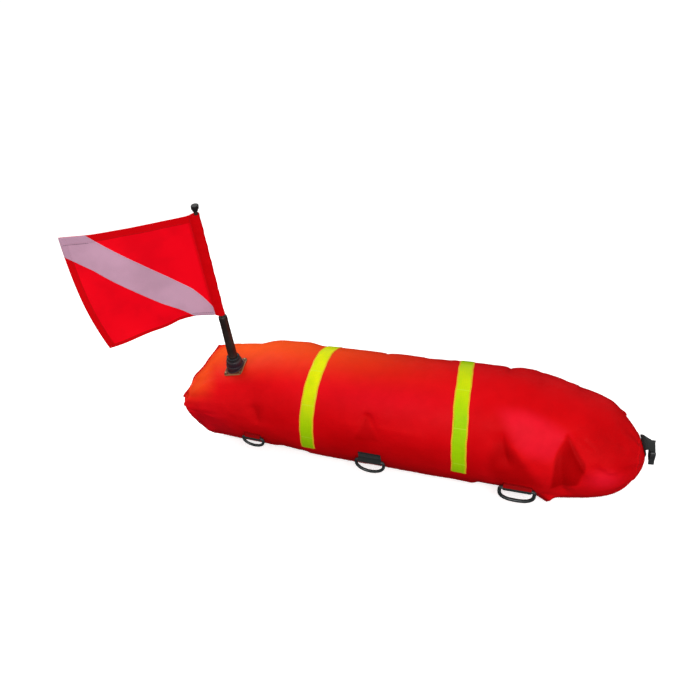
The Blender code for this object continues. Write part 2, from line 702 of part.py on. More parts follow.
# ------------------------------------------------------------ inflation valve
va = math.radians(180 - VALVE_ANGLE)
valve_spot = skin(VALVE_X, va)
valve_n = outward(VALVE_X, va)
valve_axis = bpy.data.objects.new("valve_axis", None)
bpy.context.scene.collection.objects.link(valve_axis)
valve_axis.parent = root
valve_axis.location = valve_spot
valve_axis.rotation_mode = "QUATERNION"
valve_axis.rotation_quaternion = valve_n.to_track_quat("Z", "Y")

# flanged barrel through both walls, with a seat across its bore
place("valve_body",
      turned("valve_body", [(0.0048, -0.0165), (0.0064, -0.0165), (0.0064, 0.0005), (0.0150, 0.0005),
                            (0.0150, 0.0014), (0.0138, 0.0022), (0.0074, 0.0026),
                            (0.0066, 0.0034), (0.0066, 0.0126), (0.0060, 0.0132),
                            (0.0048, 0.0132), (0.0048, -0.0060), (0.0022, -0.0060),
                            (0.0022, -0.0074), (0.0048, -0.0074)], 18),
      mat_black, parent=valve_axis)
place("valve_lock_nut",
      turned("valve_lock_nut", [(0.0067, -0.0160), (0.0112, -0.0160), (0.0118, -0.0154),
                                (0.0118, -0.0128), (0.0112, -0.0122), (0.0067, -0.0122)], 18),
      mat_black, parent=valve_axis)
# mouthpiece: pulled out to let air past its plug, pushed in to seal on the seat
place("valve_mouthpiece",
      turned("valve_mouthpiece", [(0.0, -0.0057), (0.0030, -0.0057), (0.0044, -0.0050),
                                  (0.0044, -0.0022), (0.0034, -0.0016), (0.0034, 0.0100),
                                  (0.0045, 0.0106), (0.0045, 0.0135), (0.0056, 0.0137),
                                  (0.0056, 0.0152), (0.0050, 0.0158), (0.0026, 0.0158),
                                  (0.0026, 0.0030), (0.0, 0.0030)], 18),
      mat_rubber, parent=valve_axis)
place("valve_cap",
      turned("valve_cap", [(0.0070, 0.0052), (0.0080, 0.0052), (0.0084, 0.0058), (0.0084, 0.0164),
                           (0.0074, 0.0176), (0.0, 0.0178), (0.0, 0.0162), (0.0070, 0.0160)], 18),
      mat_rubber, parent=valve_axis)

hole_mesh = bpy.data.meshes.new("cut_valve_hole")
bm = bmesh.new()
bmesh.ops.create_cone(bm, cap_ends=True, segments=20, radius1=0.0068, radius2=0.0068, depth=0.032)
bm.to_mesh(hole_mesh)
bm.free()
valve_hole = place("cut_valve_hole", hole_mesh, mat_black, parent=valve_axis)
cut(cover, valve_hole)
cut(bladder, valve_hole)

# ------------------------------------------------------------ tow strap, buckle
strap_axis = bpy.data.objects.new("strap_axis", None)
bpy.context.scene.collection.objects.link(strap_axis)
strap_axis.parent = root
strap_axis.location = (0.0, STRAP_Y, STRAP_Z)
strap_axis.rotation_euler = (math.radians(STRAP_ROLL), 0.0, 0.0)


def end_x(y, z, grow):
    """Where a skin this far outside the bag's closed end is, along x, at this y and z."""
    lo, hi = 0.38, BAG_X1
    for _ in range(40):
        x = 0.5 * (lo + hi)
        top, low, wide, half, mid = section(x)
        rise = ((top - wide) if z >= wide else (wide - low)) + grow
        if ((y - mid) / (half + grow)) ** 2 + ((z - wide) / rise) ** 2 < 1.0:
            lo = x
        else:
            hi = x
    return lo + grow


ca, sa = math.cos(math.radians(STRAP_ROLL)), math.sin(math.radians(STRAP_ROLL))


def strap_base(w, zz):
    """Local x of the strap's middle where it is sewn down on the end patch."""
    y = STRAP_Y + ca * w - sa * zz
    z = STRAP_Z + sa * w + ca * zz
    return end_x(y, z, GAP + 0.0010 + GAP + 0.0002 + 0.6 * STRAP_T)


WRAP_R = BAR_R + GAP + STRAP_T / 2
loops = []
for w in spread(-STRAP_W / 2, STRAP_W / 2, 7):
    path = [(strap_base(w, zz), zz) for zz in spread(-0.0220, STRAP_RISE, 7)]
    x0, z0, rf = path[-1][0], path[-1][1], 0.0034
    # out of the stitching, over, and straight down to the bar at this slope
    slope = math.radians(40)
    for _ in range(30):
        px, pz = x0 + rf * (1 + math.sin(slope)), z0 + rf * math.cos(slope)
        qx, qz = BAR_X + WRAP_R * math.sin(slope), WRAP_R * math.cos(slope)
        slope = math.atan2(pz - qz, qx - px)
    for i in range(1, 7):
        a = (math.pi / 2 + slope) * i / 6
        path.append((x0 + rf * (1 - math.cos(a)), z0 + rf * math.sin(a)))
    for i in range(10):
        a = (math.pi / 2 - slope) + (math.radians(-146) - (math.pi / 2 - slope)) * i / 9
        path.append((BAR_X + WRAP_R * math.cos(a), WRAP_R * math.sin(a)))
    path += [(BAR_X - 0.0034, -0.0002), (BAR_X - 0.0042, 0.0012)]
    n = len(path)
    left, right = [], []
    for i, (a, b) in enumerate(path):
        p, q = path[max(0, i - 1)], path[min(n - 1, i + 1)]
        d = Vector((q[0] - p[0], q[1] - p[1]))
        d.normalize()
        left.append((a - d.y * STRAP_T / 2, w, b + d.x * STRAP_T / 2))
        right.append((a + d.y * STRAP_T / 2, w, b - d.x * STRAP_T / 2))
    loops.append(left + right[::-1])
place("tow_strap", loft("tow_strap", loops), mat_webbing, parent=strap_axis, sharp=50)

# male half of a side-release buckle: frame and bar, then a guide blade between two prongs
half_w, nose_w = BUCKLE_W / 2, BUCKLE_NOSE / 2
top_z, frame_z, tip_z = BAR_R + 0.0002, -0.0150, BAR_R - BUCKLE_L
side = [(half_w - 0.0015, top_z), (half_w, top_z - 0.0015), (half_w, frame_z + 0.0010),
        (half_w - 0.0016, frame_z), (half_w - 0.0022, frame_z - 0.0030),
        (half_w - 0.0018, -0.0265), (half_w - 0.0004, -0.0290), (half_w - 0.0006, -0.0325),
        (nose_w, tip_z + 0.0024), (nose_w - 0.0024, tip_z), (nose_w - 0.0046, tip_z + 0.0012),
        (nose_w - 0.0044, tip_z + 0.0060), (0.0066, -0.0220), (0.0060, frame_z - 0.0008),
        (0.0048, frame_z - 0.0012), (0.0040, frame_z - 0.0030), (0.0034, tip_z + 0.0050),
        (0.0022, tip_z + 0.0034)]
outline = side + [(-a, b) for a, b in reversed(side)]
buckle_mesh = loft("buckle_plug", [[(-BUCKLE_T / 2, a, b) for a, b in outline],
                                   [(BUCKLE_T / 2, a, b) for a, b in outline]])
buckle = place("buckle_plug", buckle_mesh, mat_black, at=(BAR_X, 0.0, 0.0), parent=strap_axis)
buckle.rotation_euler = (0.0, -math.radians(BUCKLE_SWING), 0.0)
mod = buckle.modifiers.new("round", "BEVEL")
mod.width = 0.0007
mod.segments = 2
mod.limit_method = "ANGLE"
mod.angle_limit = math.radians(50)


def block(name, size, centre):
    bm = bmesh.new()
    bmesh.ops.create_cube(bm, size=1.0, matrix=Matrix.Translation(centre)
                          @ Matrix.Diagonal((*size, 1.0)))
    mesh = bpy.data.meshes.new(name)
    bm.to_mesh(mesh)
    bm.free()
    obj = place(name, mesh, mat_black, at=(BAR_X, 0.0, 0.0), parent=strap_axis)
    obj.rotation_euler = buckle.rotation_euler
    return obj


window, core = STRAP_W + 0.0012, 0.75 * BAR_R
for c in (block("cut_buckle_slot", (0.030, window, 0.0044), (0.0, 0.0, -core - 0.0022)),
          block("cut_buckle_top", (0.030, window, 0.0044), (0.0, 0.0, core + 0.0022)),
          block("cut_buckle_front", (0.0100, window, 0.0120), (core + 0.0050, 0.0, 0.0006)),
          block("cut_buckle_rear", (0.0100, window, 0.0120), (-core - 0.0050, 0.0, 0.0006))):
    cut(buckle, c)
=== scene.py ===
"""Looks of the dive flag float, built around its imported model.

Lengths are metres.  Points along the bag are given by x, from the bag's own
centre line, and by an angle round it: 0 on the near side, 90 degrees on top.
"""
import json
import math

import bmesh
import bpy
import numpy as np
from mathutils import Matrix, Vector


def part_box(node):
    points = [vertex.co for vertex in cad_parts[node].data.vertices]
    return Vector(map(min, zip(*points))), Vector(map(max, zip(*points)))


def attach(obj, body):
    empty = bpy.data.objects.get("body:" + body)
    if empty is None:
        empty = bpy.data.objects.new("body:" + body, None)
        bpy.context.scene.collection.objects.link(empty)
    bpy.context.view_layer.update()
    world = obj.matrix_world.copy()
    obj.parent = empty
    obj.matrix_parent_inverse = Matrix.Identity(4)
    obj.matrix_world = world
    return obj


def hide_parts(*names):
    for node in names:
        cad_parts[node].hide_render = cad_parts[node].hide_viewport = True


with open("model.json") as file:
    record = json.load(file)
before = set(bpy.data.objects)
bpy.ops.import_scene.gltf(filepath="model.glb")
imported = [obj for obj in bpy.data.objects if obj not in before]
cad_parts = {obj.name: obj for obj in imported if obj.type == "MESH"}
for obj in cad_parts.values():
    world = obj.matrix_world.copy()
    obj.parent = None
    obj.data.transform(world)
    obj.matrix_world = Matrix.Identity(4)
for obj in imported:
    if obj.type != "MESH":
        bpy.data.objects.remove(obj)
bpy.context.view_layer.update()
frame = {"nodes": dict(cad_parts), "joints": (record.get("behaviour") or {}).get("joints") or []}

# ------------------------------------------------------------------ sizes
OFF = np.array((-0.04867, 0.00339, 0.0965))      # bag's own frame to the shared frame
FLOOR = -0.0965
STATIONS = np.array((
    (-0.3060, 0.0330, 0.0270, 0.0300, 0.0700, 0.0050),
    (-0.2990, 0.0390, -0.0157, 0.0124, 0.0838, 0.0046),
    (-0.2860, 0.0480, -0.0819, 0.0100, 0.0850, 0.0034),
    (-0.2650, 0.0585, -0.0975, 0.0105, 0.0885, 0.0032),
    (-0.2350, 0.0685, -0.0985, 0.0080, 0.0887, 0.0031),
    (-0.1950, 0.0805, -0.0985, 0.0040, 0.0900, 0.0030),
    (-0.1500, 0.0935, -0.0975, 0.0015, 0.0915, 0.0025),
    (-0.0800, 0.0975, -0.0985, 0.0005, 0.0952, 0.0003),
    (0.0400, 0.0980, -0.0990, 0.0000, 0.0980, 0.0000),
    (0.1666, 0.1000, -0.1000, 0.0000, 0.1000, 0.0000),
    (0.2700, 0.1040, -0.1000, 0.0000, 0.1010, -0.0036),
    (0.3200, 0.0920, -0.1003, -0.0040, 0.1007, -0.0039),
    (0.3700, 0.0815, -0.0955, -0.0082, 0.0907, -0.0055),
    (0.4100, 0.0675, -0.0879, -0.0137, 0.0805, -0.0050),
    (0.4350, 0.0442, -0.0759, -0.0196, 0.0653, -0.0062),
    (0.4550, 0.0200, -0.0570, -0.0220, 0.0430, -0.0060),
    (0.4680, -0.0070, -0.0400, -0.0240, 0.0200, -0.0065),
    (0.4720, -0.0180, -0.0300, -0.0240, 0.0080, -0.0065)))
GAP = 0.0003
BAND_W = 0.0250
BANDS = (("left", -0.0813, 14.0), ("right", 0.1666, 8.5))
RING_SPOTS = (("left", -0.1780, 15.5, 0.0085, 0.0330, 0.0205, 0.0050),
              ("middle", 0.0370, 12.5, 0.0165, 0.0425, 0.0275, 0.0054),
              ("right", 0.2800, 14.5, 0.0085, 0.0490, 0.0290, 0.0060))
TAB_T, TAB_SIDE = 0.0012, 0.0020
POLE_X, POLE_Y = -0.2205, -0.0160
SEAM_DROP = 38.0
FLAG_Z0, FLAG_H = 0.1925, 0.1890
SLEEVE_R = 0.0048
VALVE_X = -0.1150
STRAP_W, STRAP_T = 0.0200, 0.0014
STRAP_Y, STRAP_Z, STRAP_ROLL, STRAP_RISE = 0.0060, -0.0070, 10.0, 0.0130
BAR_X, BAR_R = 0.4845, 0.0018
BUCKLE_SWING = 6.6

# ------------------------------------------------------------------ camera
cam = bpy.data.cameras.new("camera")
cam.lens, cam.sensor_width = 34.97, 36.0
cam.clip_start = 0.02
camera = bpy.data.objects.new("camera", cam)
bpy.context.scene.collection.objects.link(camera)
right = Vector((0.9648, 0.2529, -0.0725)).normalized()
back = Vector((0.2340, -0.6991, 0.6756)).normalized()
up = back.cross(right).normalized()
right = up.cross(back)
rot = Matrix((right, up, back)).transposed().to_4x4()
camera.matrix_world = Matrix.Translation((0.20113, -0.77821, 0.98360)) @ rot
bpy.context.scene.camera = camera

# ------------------------------------------------------------------ bag surface
XS = STATIONS[:, 0]


def slopes(xs, ys):
    h = np.diff(xs)
    s = np.diff(ys) / h
    m = np.zeros(len(xs))
    m[0], m[-1] = s[0], s[-1]
    for i in range(1, len(xs) - 1):
        if s[i - 1] * s[i] > 0:
            w1, w2 = 2 * h[i] + h[i - 1], h[i] + 2 * h[i - 1]
            m[i] = (w1 + w2) / (w1 / s[i - 1] + w2 / s[i])
    return m


SLOPES = [slopes(XS, STATIONS[:, k]) for k in range(1, 6)]


def section(x):
    x = np.clip(x, XS[0], XS[-1])
    i = np.clip(np.searchsorted(XS, x, side="right") - 1, 0, len(XS) - 2)
    h = XS[i + 1] - XS[i]
    t = (x - XS[i]) / h
    out = []
    for k in range(5):
        y, m = STATIONS[:, k + 1], SLOPES[k]
        out.append((2 * t**3 - 3 * t**2 + 1) * y[i] + (t**3 - 2 * t**2 + t) * m[i] * h
                   + (-2 * t**3 + 3 * t**2) * y[i + 1] + (t**3 - t**2) * m[i + 1] * h)
    return out


def base(x, a):
    """Smooth bag before its folds, in the bag's frame."""
    x, a = np.broadcast_arrays(np.asarray(x, float), np.asarray(a, float))
    top, low, wide, half, mid = section(x)
    c, s = np.cos(a), np.sin(a)
    rise = np.where(s >= 0, top - wide, wide - low)
    return np.stack([x, mid - half * c, wide + rise * s], -1)


def unit(v):
    return v / (np.linalg.norm(v, axis=-1, keepdims=True) + 1e-12)


def normal_of(fn, x, a):
    e, f = 6e-4, 8e-3
    xa, xb = np.clip(x - e, XS[0], XS[-1]), np.clip(x + e, XS[0], XS[-1])
    n = unit(np.cross(fn(x, a + f) - fn(x, a - f), fn(xb, a) - fn(xa, a)))
    out = np.stack([0 * a + 0 * x, -np.cos(a) + 0 * x, np.sin(a) + 0 * x], -1)
    return n * np.where((n * out).sum(-1) < 0, -1.0, 1.0)[..., None]


ARC = 0.0975                       # metres of fabric in one radian round the bag


def step(t, lo, hi):
    t = np.clip((t - lo) / (hi - lo), 0.0, 1.0)
    return t * t * (3 - 2 * t)


def wrap_to(a, centre):
    return centre + (a - centre + math.pi) % (2 * math.pi) - math.pi


def near_line(x, a, pts):
    """Signed distance to a line of (x, degrees) points, and how far along it, 0 to 1."""
    pts = [(px, math.radians(pa) * ARC) for px, pa in pts]
    s = wrap_to(a, pts[len(pts) // 2][1] / ARC) * ARC
    best = np.full(np.shape(x + s), 9.0)
    along = np.zeros_like(best)
    sign = np.ones_like(best)
    total = sum(math.hypot(q[0] - p[0], q[1] - p[1]) for p, q in zip(pts, pts[1:]))
    done = 0.0
    for p, q in zip(pts, pts[1:]):
        dx, ds = q[0] - p[0], q[1] - p[1]
        length = math.hypot(dx, ds)
        t = np.clip(((x - p[0]) * dx + (s - p[1]) * ds) / length**2, 0, 1)
        ex, es = x - p[0] - t * dx, s - p[1] - t * ds
        d = np.hypot(ex, es)
        hit = d < best
        best = np.where(hit, d, best)
        along = np.where(hit, (done + t * length) / total, along)
        sign = np.where(hit, np.sign(dx * es - ds * ex + 1e-12), sign)
        done += length
    return best * sign, along


def crease(x, a, pts, height, left, right_, power=1.0, fade=(0.25, 0.25)):
    """Fold along a line: its own width on each side, pointed (power 1) to round (power 2)."""
    d, t = near_line(x, a, pts)
    w = np.where(d < 0, left, right_)
    shape = np.exp(-np.abs(d / w) ** power)
    ends = step(t, 0.0, max(1e-3, fade[0])) * step(1 - t, 0.0, max(1e-3, fade[1]))
    return height * shape * ends


def dent(x, a, x0, deg, rx, rs, height, turn=0.0, power=2.0):
    s = (wrap_to(a, math.radians(deg)) - math.radians(deg)) * ARC
    dx = x - x0
    c, n = math.cos(math.radians(turn)), math.sin(math.radians(turn))
    u, v = (c * dx + n * s) / rx, (-n * dx + c * s) / rs
    return height * np.exp(-(u * u + v * v) ** (power / 2))


WAVES = np.random.RandomState(11)
WAVE_LIST = []
for band_k, (size, lo, hi) in enumerate(((0.00055, 12, 45), (0.00028, 60, 130), (0.00008, 160, 330))):
    for _ in range(14):
        f = WAVES.uniform(lo, hi)
        th = WAVES.uniform(0, math.pi)
        WAVE_LIST.append((size * WAVES.uniform(0.5, 1.0), f * math.cos(th),
                          int(round(f * math.sin(th) * ARC)), WAVES.uniform(0, math.tau)))


def ripple(x, a):
    out = 0.0
    for size, fx, m, ph in WAVE_LIST:
        out = out + size * np.cos(fx * x + m * a + ph)
    return out * 0.42


def folds(x, a):
    """How far the cover's fabric stands off the smooth bag, in metres."""
    x, a = np.broadcast_arrays(np.asarray(x, float), np.asarray(a, float))
    d = ripple(x, a)
    # gathers that run out of the flat seam, and out of the closed right end
    near_seam = np.exp(-((x + 0.306) / 0.030))
    d = d + near_seam * (0.0009 * np.sin(15 * a + 1.2) + 0.0006 * np.sin(27 * a + 0.4)) \
        * step(x, -0.306, -0.290)
    tip = step(x, 0.395, 0.455) * (1 - step(x, 0.466, 0.472))
    d = d + tip * (0.0007 * np.sin(11 * a + 0.7) + 0.0003 * np.sin(19 * a + 2.0))
    # crease from the near seam corner up towards the pole socket
    d = d + crease(x, a, ((-0.306, 14), (-0.281, 45), (-0.2645, 57), (-0.2463, 63), (-0.228, 66)),
                   0.0075, 0.026, 0.020, 1.1, (0.03, 0.55))
    d = d + crease(x, a, ((-0.306, 166), (-0.281, 135), (-0.2645, 124), (-0.240, 116)),
                   0.0026, 0.012, 0.016, 1.2, (0.03, 0.5))
    d = d + crease(x, a, ((-0.303, 60), (-0.285, 72), (-0.262, 78)), -0.0012, 0.007, 0.007, 1.5)
    d = d + dent(x, a, -0.2690, -27, 0.010, 0.016, 0.0034)
    d = d + dent(x, a, -0.2915, -8, 0.0090, 0.022, 0.0028)
    d = d + crease(x, a, ((0.095, 134), (0.125, 134), (0.155, 134)), -0.0018, 0.020, 0.020, 1.2)
    d = d + crease(x, a, ((-0.208, 135), (-0.135, 135), (-0.080, 134)), 0.0034, 0.020, 0.020, 1.2)
    d = d + crease(x, a, ((-0.150, -36), (-0.120, -36), (-0.075, -36)), -0.0030, 0.022, 0.022, 1.2)
    d = d + crease(x, a, ((0.205, -36), (0.236, -36), (0.256, -36)), -0.0056, 0.020, 0.022, 1.2, (0.3, 0.05))
    d = d + crease(x, a, ((0.270, 134), (0.315, 134), (0.350, 134)), 0.0022, 0.020, 0.020, 1.2)
    d = d + dent(x, a, -0.2690, 207, 0.010, 0.016, 0.0026)
    d = d + crease(x, a, ((-0.300, -2), (-0.270, 6), (-0.235, 8)), -0.0012, 0.010, 0.010, 1.6)
    # shallow dents on the near side
    d = d + dent(x, a, -0.166, 24.5, 0.012, 0.017, -0.0028, turn=-20)
    d = d + crease(x, a, ((-0.1790, 33), (-0.1660, 20), (-0.1600, 4)), -0.0022, 0.010, 0.006, 1.3)
    d = d + dent(x, a, -0.150, 14.0, 0.020, 0.010, -0.0010)
    d = d + crease(x, a, ((0.030, 44), (0.024, 30), (0.012, 20)), -0.0030, 0.004, 0.012, 1.2, (0.2, 0.5))
    d = d + crease(x, a, ((0.030, 44), (0.044, 30), (0.055, 22)), -0.0026, 0.011, 0.004, 1.2, (0.2, 0.5))
    d = d + crease(x, a, ((-0.020, 27.5), (0.060, 29), (0.140, 27)), 0.0011, 0.010, 0.006, 1.3)
    # soft fold above the right ring
    d = d + crease(x, a, ((0.244, 47), (0.249, 34), (0.254, 23), (0.266, 8)),
                   -0.0060, 0.016, 0.008, 1.4, (0.35, 0.35))
    d = d + crease(x, a, ((0.262, 36), (0.276, 24), (0.290, 14)), 0.0016, 0.012, 0.009, 1.5)
    # the deep fold with its bright ridge, and the creases beside it
    d = d + crease(x, a, ((0.3396, 54), (0.338, 38), (0.341, 20), (0.347, 0), (0.356, -24)),
                   -0.0066, 0.0155, 0.0105, 1.5, (0.30, 0.2))
    d = d + crease(x, a, ((0.3396, 55), (0.3560, 37), (0.3760, 19), (0.3800, 6)),
                   0.0062, 0.0060, 0.016, 1.1, (0.12, 0.45))
    d = d + crease(x, a, ((0.3560, 50), (0.3700, 46), (0.3890, 38)), 0.0016, 0.004, 0.005, 1.1)
    d = d + crease(x, a, ((0.3680, 57), (0.3830, 50), (0.3950, 41)), 0.0013, 0.004, 0.005, 1.1)
    d = d + crease(x, a, ((0.3620, 53), (0.3780, 47)), -0.0010, 0.003, 0.003, 1.4)
    d = d + dent(x, a, 0.398, 23, 0.015, 0.010, -0.0032, turn=-25)
    d = d + crease(x, a, ((0.392, 30), (0.412, 22), (0.428, 24)), 0.0015, 0.005, 0.006, 1.2)
    d = d + crease(x, a, ((0.384, 66), (0.412, 58), (0.440, 62)), -0.0022, 0.013, 0.016, 1.6)
    d = d + crease(x, a, ((0.372, -8), (0.400, -14), (0.430, -12)), -0.0006, 0.008, 0.010, 1.5)
    # knots of fabric in the lower and upper outlines
    d = d + crease(x, a, ((0.322, -52), (0.330, -36), (0.334, -20)), 0.0080, 0.0060, 0.0110, 1.25)
    d = d + crease(x, a, ((0.302, -50), (0.308, -35), (0.311, -20)), -0.0022, 0.010, 0.006, 1.4)
    d = d + crease(x, a, ((0.2440, 104), (0.2468, 134), (0.2480, 164)), -0.0032, 0.0080, 0.0040, 1.2)
    d = d + crease(x, a, ((0.2640, 110), (0.2670, 134), (0.2690, 160)), 0.0016, 0.014, 0.010, 1.6)
    d = d + crease(x, a, ((0.3590, 108), (0.3610, 134), (0.3630, 160)), -0.0020, 0.007, 0.004, 1.2)
    d = d + crease(x, a, ((0.3480, 112), (0.3500, 134), (0.3520, 156)), 0.0012, 0.009, 0.006, 1.5)
    d = d + crease(x, a, ((0.2960, 112), (0.2980, 134), (0.3000, 156)), -0.0012, 0.006, 0.008, 1.4)
    d = d + crease(x, a, ((0.0335, 118), (0.0345, 134), (0.0355, 150)), -0.0022, 0.0045, 0.0025, 1.1)
    # far seam corner, folded flat against the right end
    d = d + crease(x, a, ((0.425, 130), (0.431, 129), (0.4370, 128)), 0.0032, 0.010, 0.010, 1.3, (0.9, 0.0)) \
        * (1 - step(x, 0.4362, 0.4382))
    d = d + crease(x, a, ((0.4030, 138), (0.4060, 130), (0.4100, 122)), -0.0008, 0.012, 0.016, 1.3)
    d = d + crease(x, a, ((0.4390, 138), (0.4396, 127), (0.4402, 116)), -0.0050, 0.0026, 0.0060, 1.3)
    d = d + dent(x, a, 0.463, -14, 0.013, 0.016, -0.0022)
    # folds of the far side, where nothing is known: the same kind and size
    d = d + crease(x, a, ((0.336, 128), (0.342, 148), (0.350, 172)), -0.0040, 0.012, 0.012, 1.5)
    d = d + crease(x, a, ((0.352, 134), (0.374, 152), (0.382, 166)), 0.0024, 0.005, 0.011, 1.1)
    d = d + crease(x, a, ((0.262, 146), (0.266, 160), (0.276, 176)), -0.0026, 0.011, 0.008, 1.4)
    d = d + dent(x, a, 0.052, 150, 0.020, 0.013, -0.0013, turn=20)
    d = d + dent(x, a, -0.030, 158, 0.013, 0.017, -0.0015)
    # lengthwise seams of the two body panels, with the small puckers of their thread
    for deg in (-SEAM_DROP, 180 + SEAM_DROP):
        s = (wrap_to(a, math.radians(deg)) - math.radians(deg)) * ARC
        flat = 1 - step(np.abs(s), 0.0036, 0.0056)
        along = step(x, -0.296, -0.280) * (1 - step(x, 0.430, 0.455))
        pucker = 1 + 0.20 * np.sin(x * 2 * math.pi / 0.0105 + 1.5 * np.sin(x * 31))
        d = d + along * (0.00055 * flat * pucker
                         - 0.00035 * np.exp(-((np.abs(s) - 0.0075) / 0.0035) ** 2))
    # the tape and the webbing pull the fabric flat under them
    for _, x0, drop in BANDS:
        inside = np.exp(-((x - x0 - BAND_W / 2) / (BAND_W * 0.74)) ** 4)
        reach = step(np.sin(a), -math.sin(math.radians(drop + 7)), -math.sin(math.radians(drop)))
        d = d * (1 - 0.75 * inside * reach)
        d = d - 0.0004 * inside * reach
    for _, x0, drop, sewn, *_ in RING_SPOTS:
        s = (wrap_to(a, math.radians(-drop)) + math.radians(drop)) * ARC
        d = d * (1 - np.exp(-((x - x0) / 0.0285) ** 6) * np.exp(-((s - sewn / 2) / 0.0150) ** 6))
    b = base(x, a)
    r = np.hypot(b[..., 0] - POLE_X, b[..., 1] - POLE_Y)
    top = np.sin(a) > 0
    d = np.where(top, d * (1 - np.exp(-(r / 0.0265) ** 6)), d)
    s = (wrap_to(a, math.radians(177)) - math.radians(177)) * ARC
    d = d * (1 - np.exp(-(np.hypot(x - VALVE_X, s) / 0.0185) ** 6))
    return d


def settle(p):
    """Nothing of the bag goes below the surface that it lies on."""
    k = 0.0009
    z = (p[..., 2] - FLOOR) / k
    p[..., 2] = FLOOR + k * np.where(z > 30, z, np.log1p(np.exp(np.minimum(z, 30))))
    return p


def facet(x, a, pts, soft):
    """1 inside a convex patch of cloth given by its corners (x, angle), soft at its rim."""
    pts = [(px_, math.radians(pa_) * ARC) for px_, pa_ in pts]
    cx = sum(q[0] for q in pts) / len(pts)
    cy = sum(q[1] for q in pts) / len(pts)
    sx, sy = x, wrap_to(a, cy / ARC) * ARC
    out = np.ones(np.broadcast(x, a).shape)
    for (x0, y0), (x1, y1) in zip(pts, pts[1:] + pts[:1]):
        ln = math.hypot(x1 - x0, y1 - y0)
        nx_, ny_ = (y1 - y0) / ln, -(x1 - x0) / ln
        if (cx - x0) * nx_ + (cy - y0) * ny_ < 0:
            nx_, ny_ = -nx_, -ny_
        out = out * step((sx - x0) * nx_ + (sy - y0) * ny_, -soft, soft)
    return out


def painted_fold_light(x, a):
    """Painted light on the cover: a painted highlight above 0 where folds face the light, painted shade below 0
    inside the folds and along the lower near side.
    """
    # painted highlights on the folds that face the light
    t = 0.72 * facet(x, a, ((0.2383, 62), (0.2903, 66), (0.3480, 54), (0.3280, 28), (0.2764, 27)), 0.014)
    t = t + 0.75 * dent(x, a, 0.406, 12, 0.024, 0.020, 1.0)
    t = t + 0.25 * dent(x, a, 0.060, 58, 0.120, 0.030, 1.0)
    t = t + 0.25 * dent(x, a, -0.262, -10, 0.045, 0.050, 1.0)
    # painted shade inside the folds
    t = t - 0.75 * facet(x, a, ((0.3422, 55), (0.3751, 27.5), (0.3690, 2), (0.3301, -8), (0.3292, 34)), 0.0035)
    t = t - 0.62 * facet(x, a, ((0.2409, 37), (0.2634, 33), (0.2937, 15), (0.3180, -6), (0.2500, -16),
                                (0.2271, 12)), 0.0120)
    t = t - 0.32 * facet(x, a, ((0.0298, 41), (0.0523, 15), (0.0116, 12)), 0.0045)
    t = t - 0.35 * dent(x, a, -0.163, 22, 0.011, 0.022, 1.0)
    t = t - 0.40 * dent(x, a, 0.400, 58, 0.035, 0.035, 1.0)
    # painted shade: darker along the lower near side
    t = t - 0.38 * (1 - step(wrap_to(a, 0.6), math.radians(4), math.radians(34))) \
        * step(x, -0.10, 0.02) * (1 - step(x, 0.20, 0.26)) * (np.sin(a) > -0.7)
    return np.clip(t, -1.0, 1.0)


def lean(p):
    """The flat end runs a little askew: its far corner lies further in than its near one."""
    fade = np.clip((-0.235 - p[..., 0]) / 0.075, 0.0, 1.0)
    fade = fade * fade * (3 - 2 * fade) ** 0.5
    p[..., 0] += fade * (0.0092 * np.clip((p[..., 1] + 0.065) / 0.140, 0.0, 1.1)
                         - 0.0042 * np.exp(-((p[..., 1] + 0.016) / 0.017) ** 2))
    # its near corner is full under the binding
    near = step(-p[..., 1], 0.050, 0.064) * step(-p[..., 0], 0.2975, 0.3030)
    p[..., 0] -= 0.0030 * near * np.exp(-((p[..., 2] - 0.0215) / 0.0070) ** 2)
    return p


def surf(x, a, lift=0.0):
    x, a = np.broadcast_arrays(np.asarray(x, float), np.asarray(a, float))
    n = normal_of(base, x, a)
    return lean(settle(base(x, a) + n * (folds(x, a) + lift)[..., None]))


def top_height(x, y, lift=0.0):
    top, low, wide, half, mid = section(np.asarray(x, float))
    u = (y - mid) / half
    return wide + (top - wide) * np.sqrt(np.maximum(0.0, 1.0 - u * u)) + lift


# ------------------------------------------------------------------ node helpers
def new_mat(name):
    m = bpy.data.materials.new(name)
    m.use_nodes = True
    return m, m.node_tree, m.node_tree.nodes["Principled BSDF"]


def nd(nt, kind, ins=None, **props):
    n = nt.nodes.new(kind)
    for k, v in props.items():
        setattr(n, k, v)
    for k, v in (ins or {}).items():
        if isinstance(v, bpy.types.NodeSocket):
            nt.links.new(v, n.inputs[k])
        else:
            n.inputs[k].default_value = v
    return n


def noise(nt, co, scale, detail=3.0, rough=0.55):
    return nd(nt, "ShaderNodeTexNoise", {"Vector": co, "Scale": scale, "Detail": detail,
                                         "Roughness": rough}).outputs["Fac"]


def span(nt, v, a, b, c, d, smooth=False):
    n = nd(nt, "ShaderNodeMapRange", {"Value": v, "From Min": a, "From Max": b,
                                      "To Min": c, "To Max": d})
    n.clamp = True
    if smooth:
        n.interpolation_type = "SMOOTHSTEP"
    return n.outputs["Result"]


def calc(nt, op, a, b=None, c=None):
    n = nd(nt, "ShaderNodeMath", operation=op)
    for i, v in enumerate((a, b, c)):
        if v is None:
            continue
        if isinstance(v, bpy.types.NodeSocket):
            nt.links.new(v, n.inputs[i])
        else:
            n.inputs[i].default_value = v
    return n.outputs[0]


def blend(nt, fac, a, b, mode="MIX"):
    n = nd(nt, "ShaderNodeMix", data_type="RGBA", blend_type=mode)
    for i, v in ((0, fac), (6, a), (7, b)):
        if isinstance(v, bpy.types.NodeSocket):
            nt.links.new(v, n.inputs[i])
        elif i == 0:
            n.inputs[i].default_value = v
        else:
            n.inputs[i].default_value = (*v, 1.0)
    return n.outputs[2]


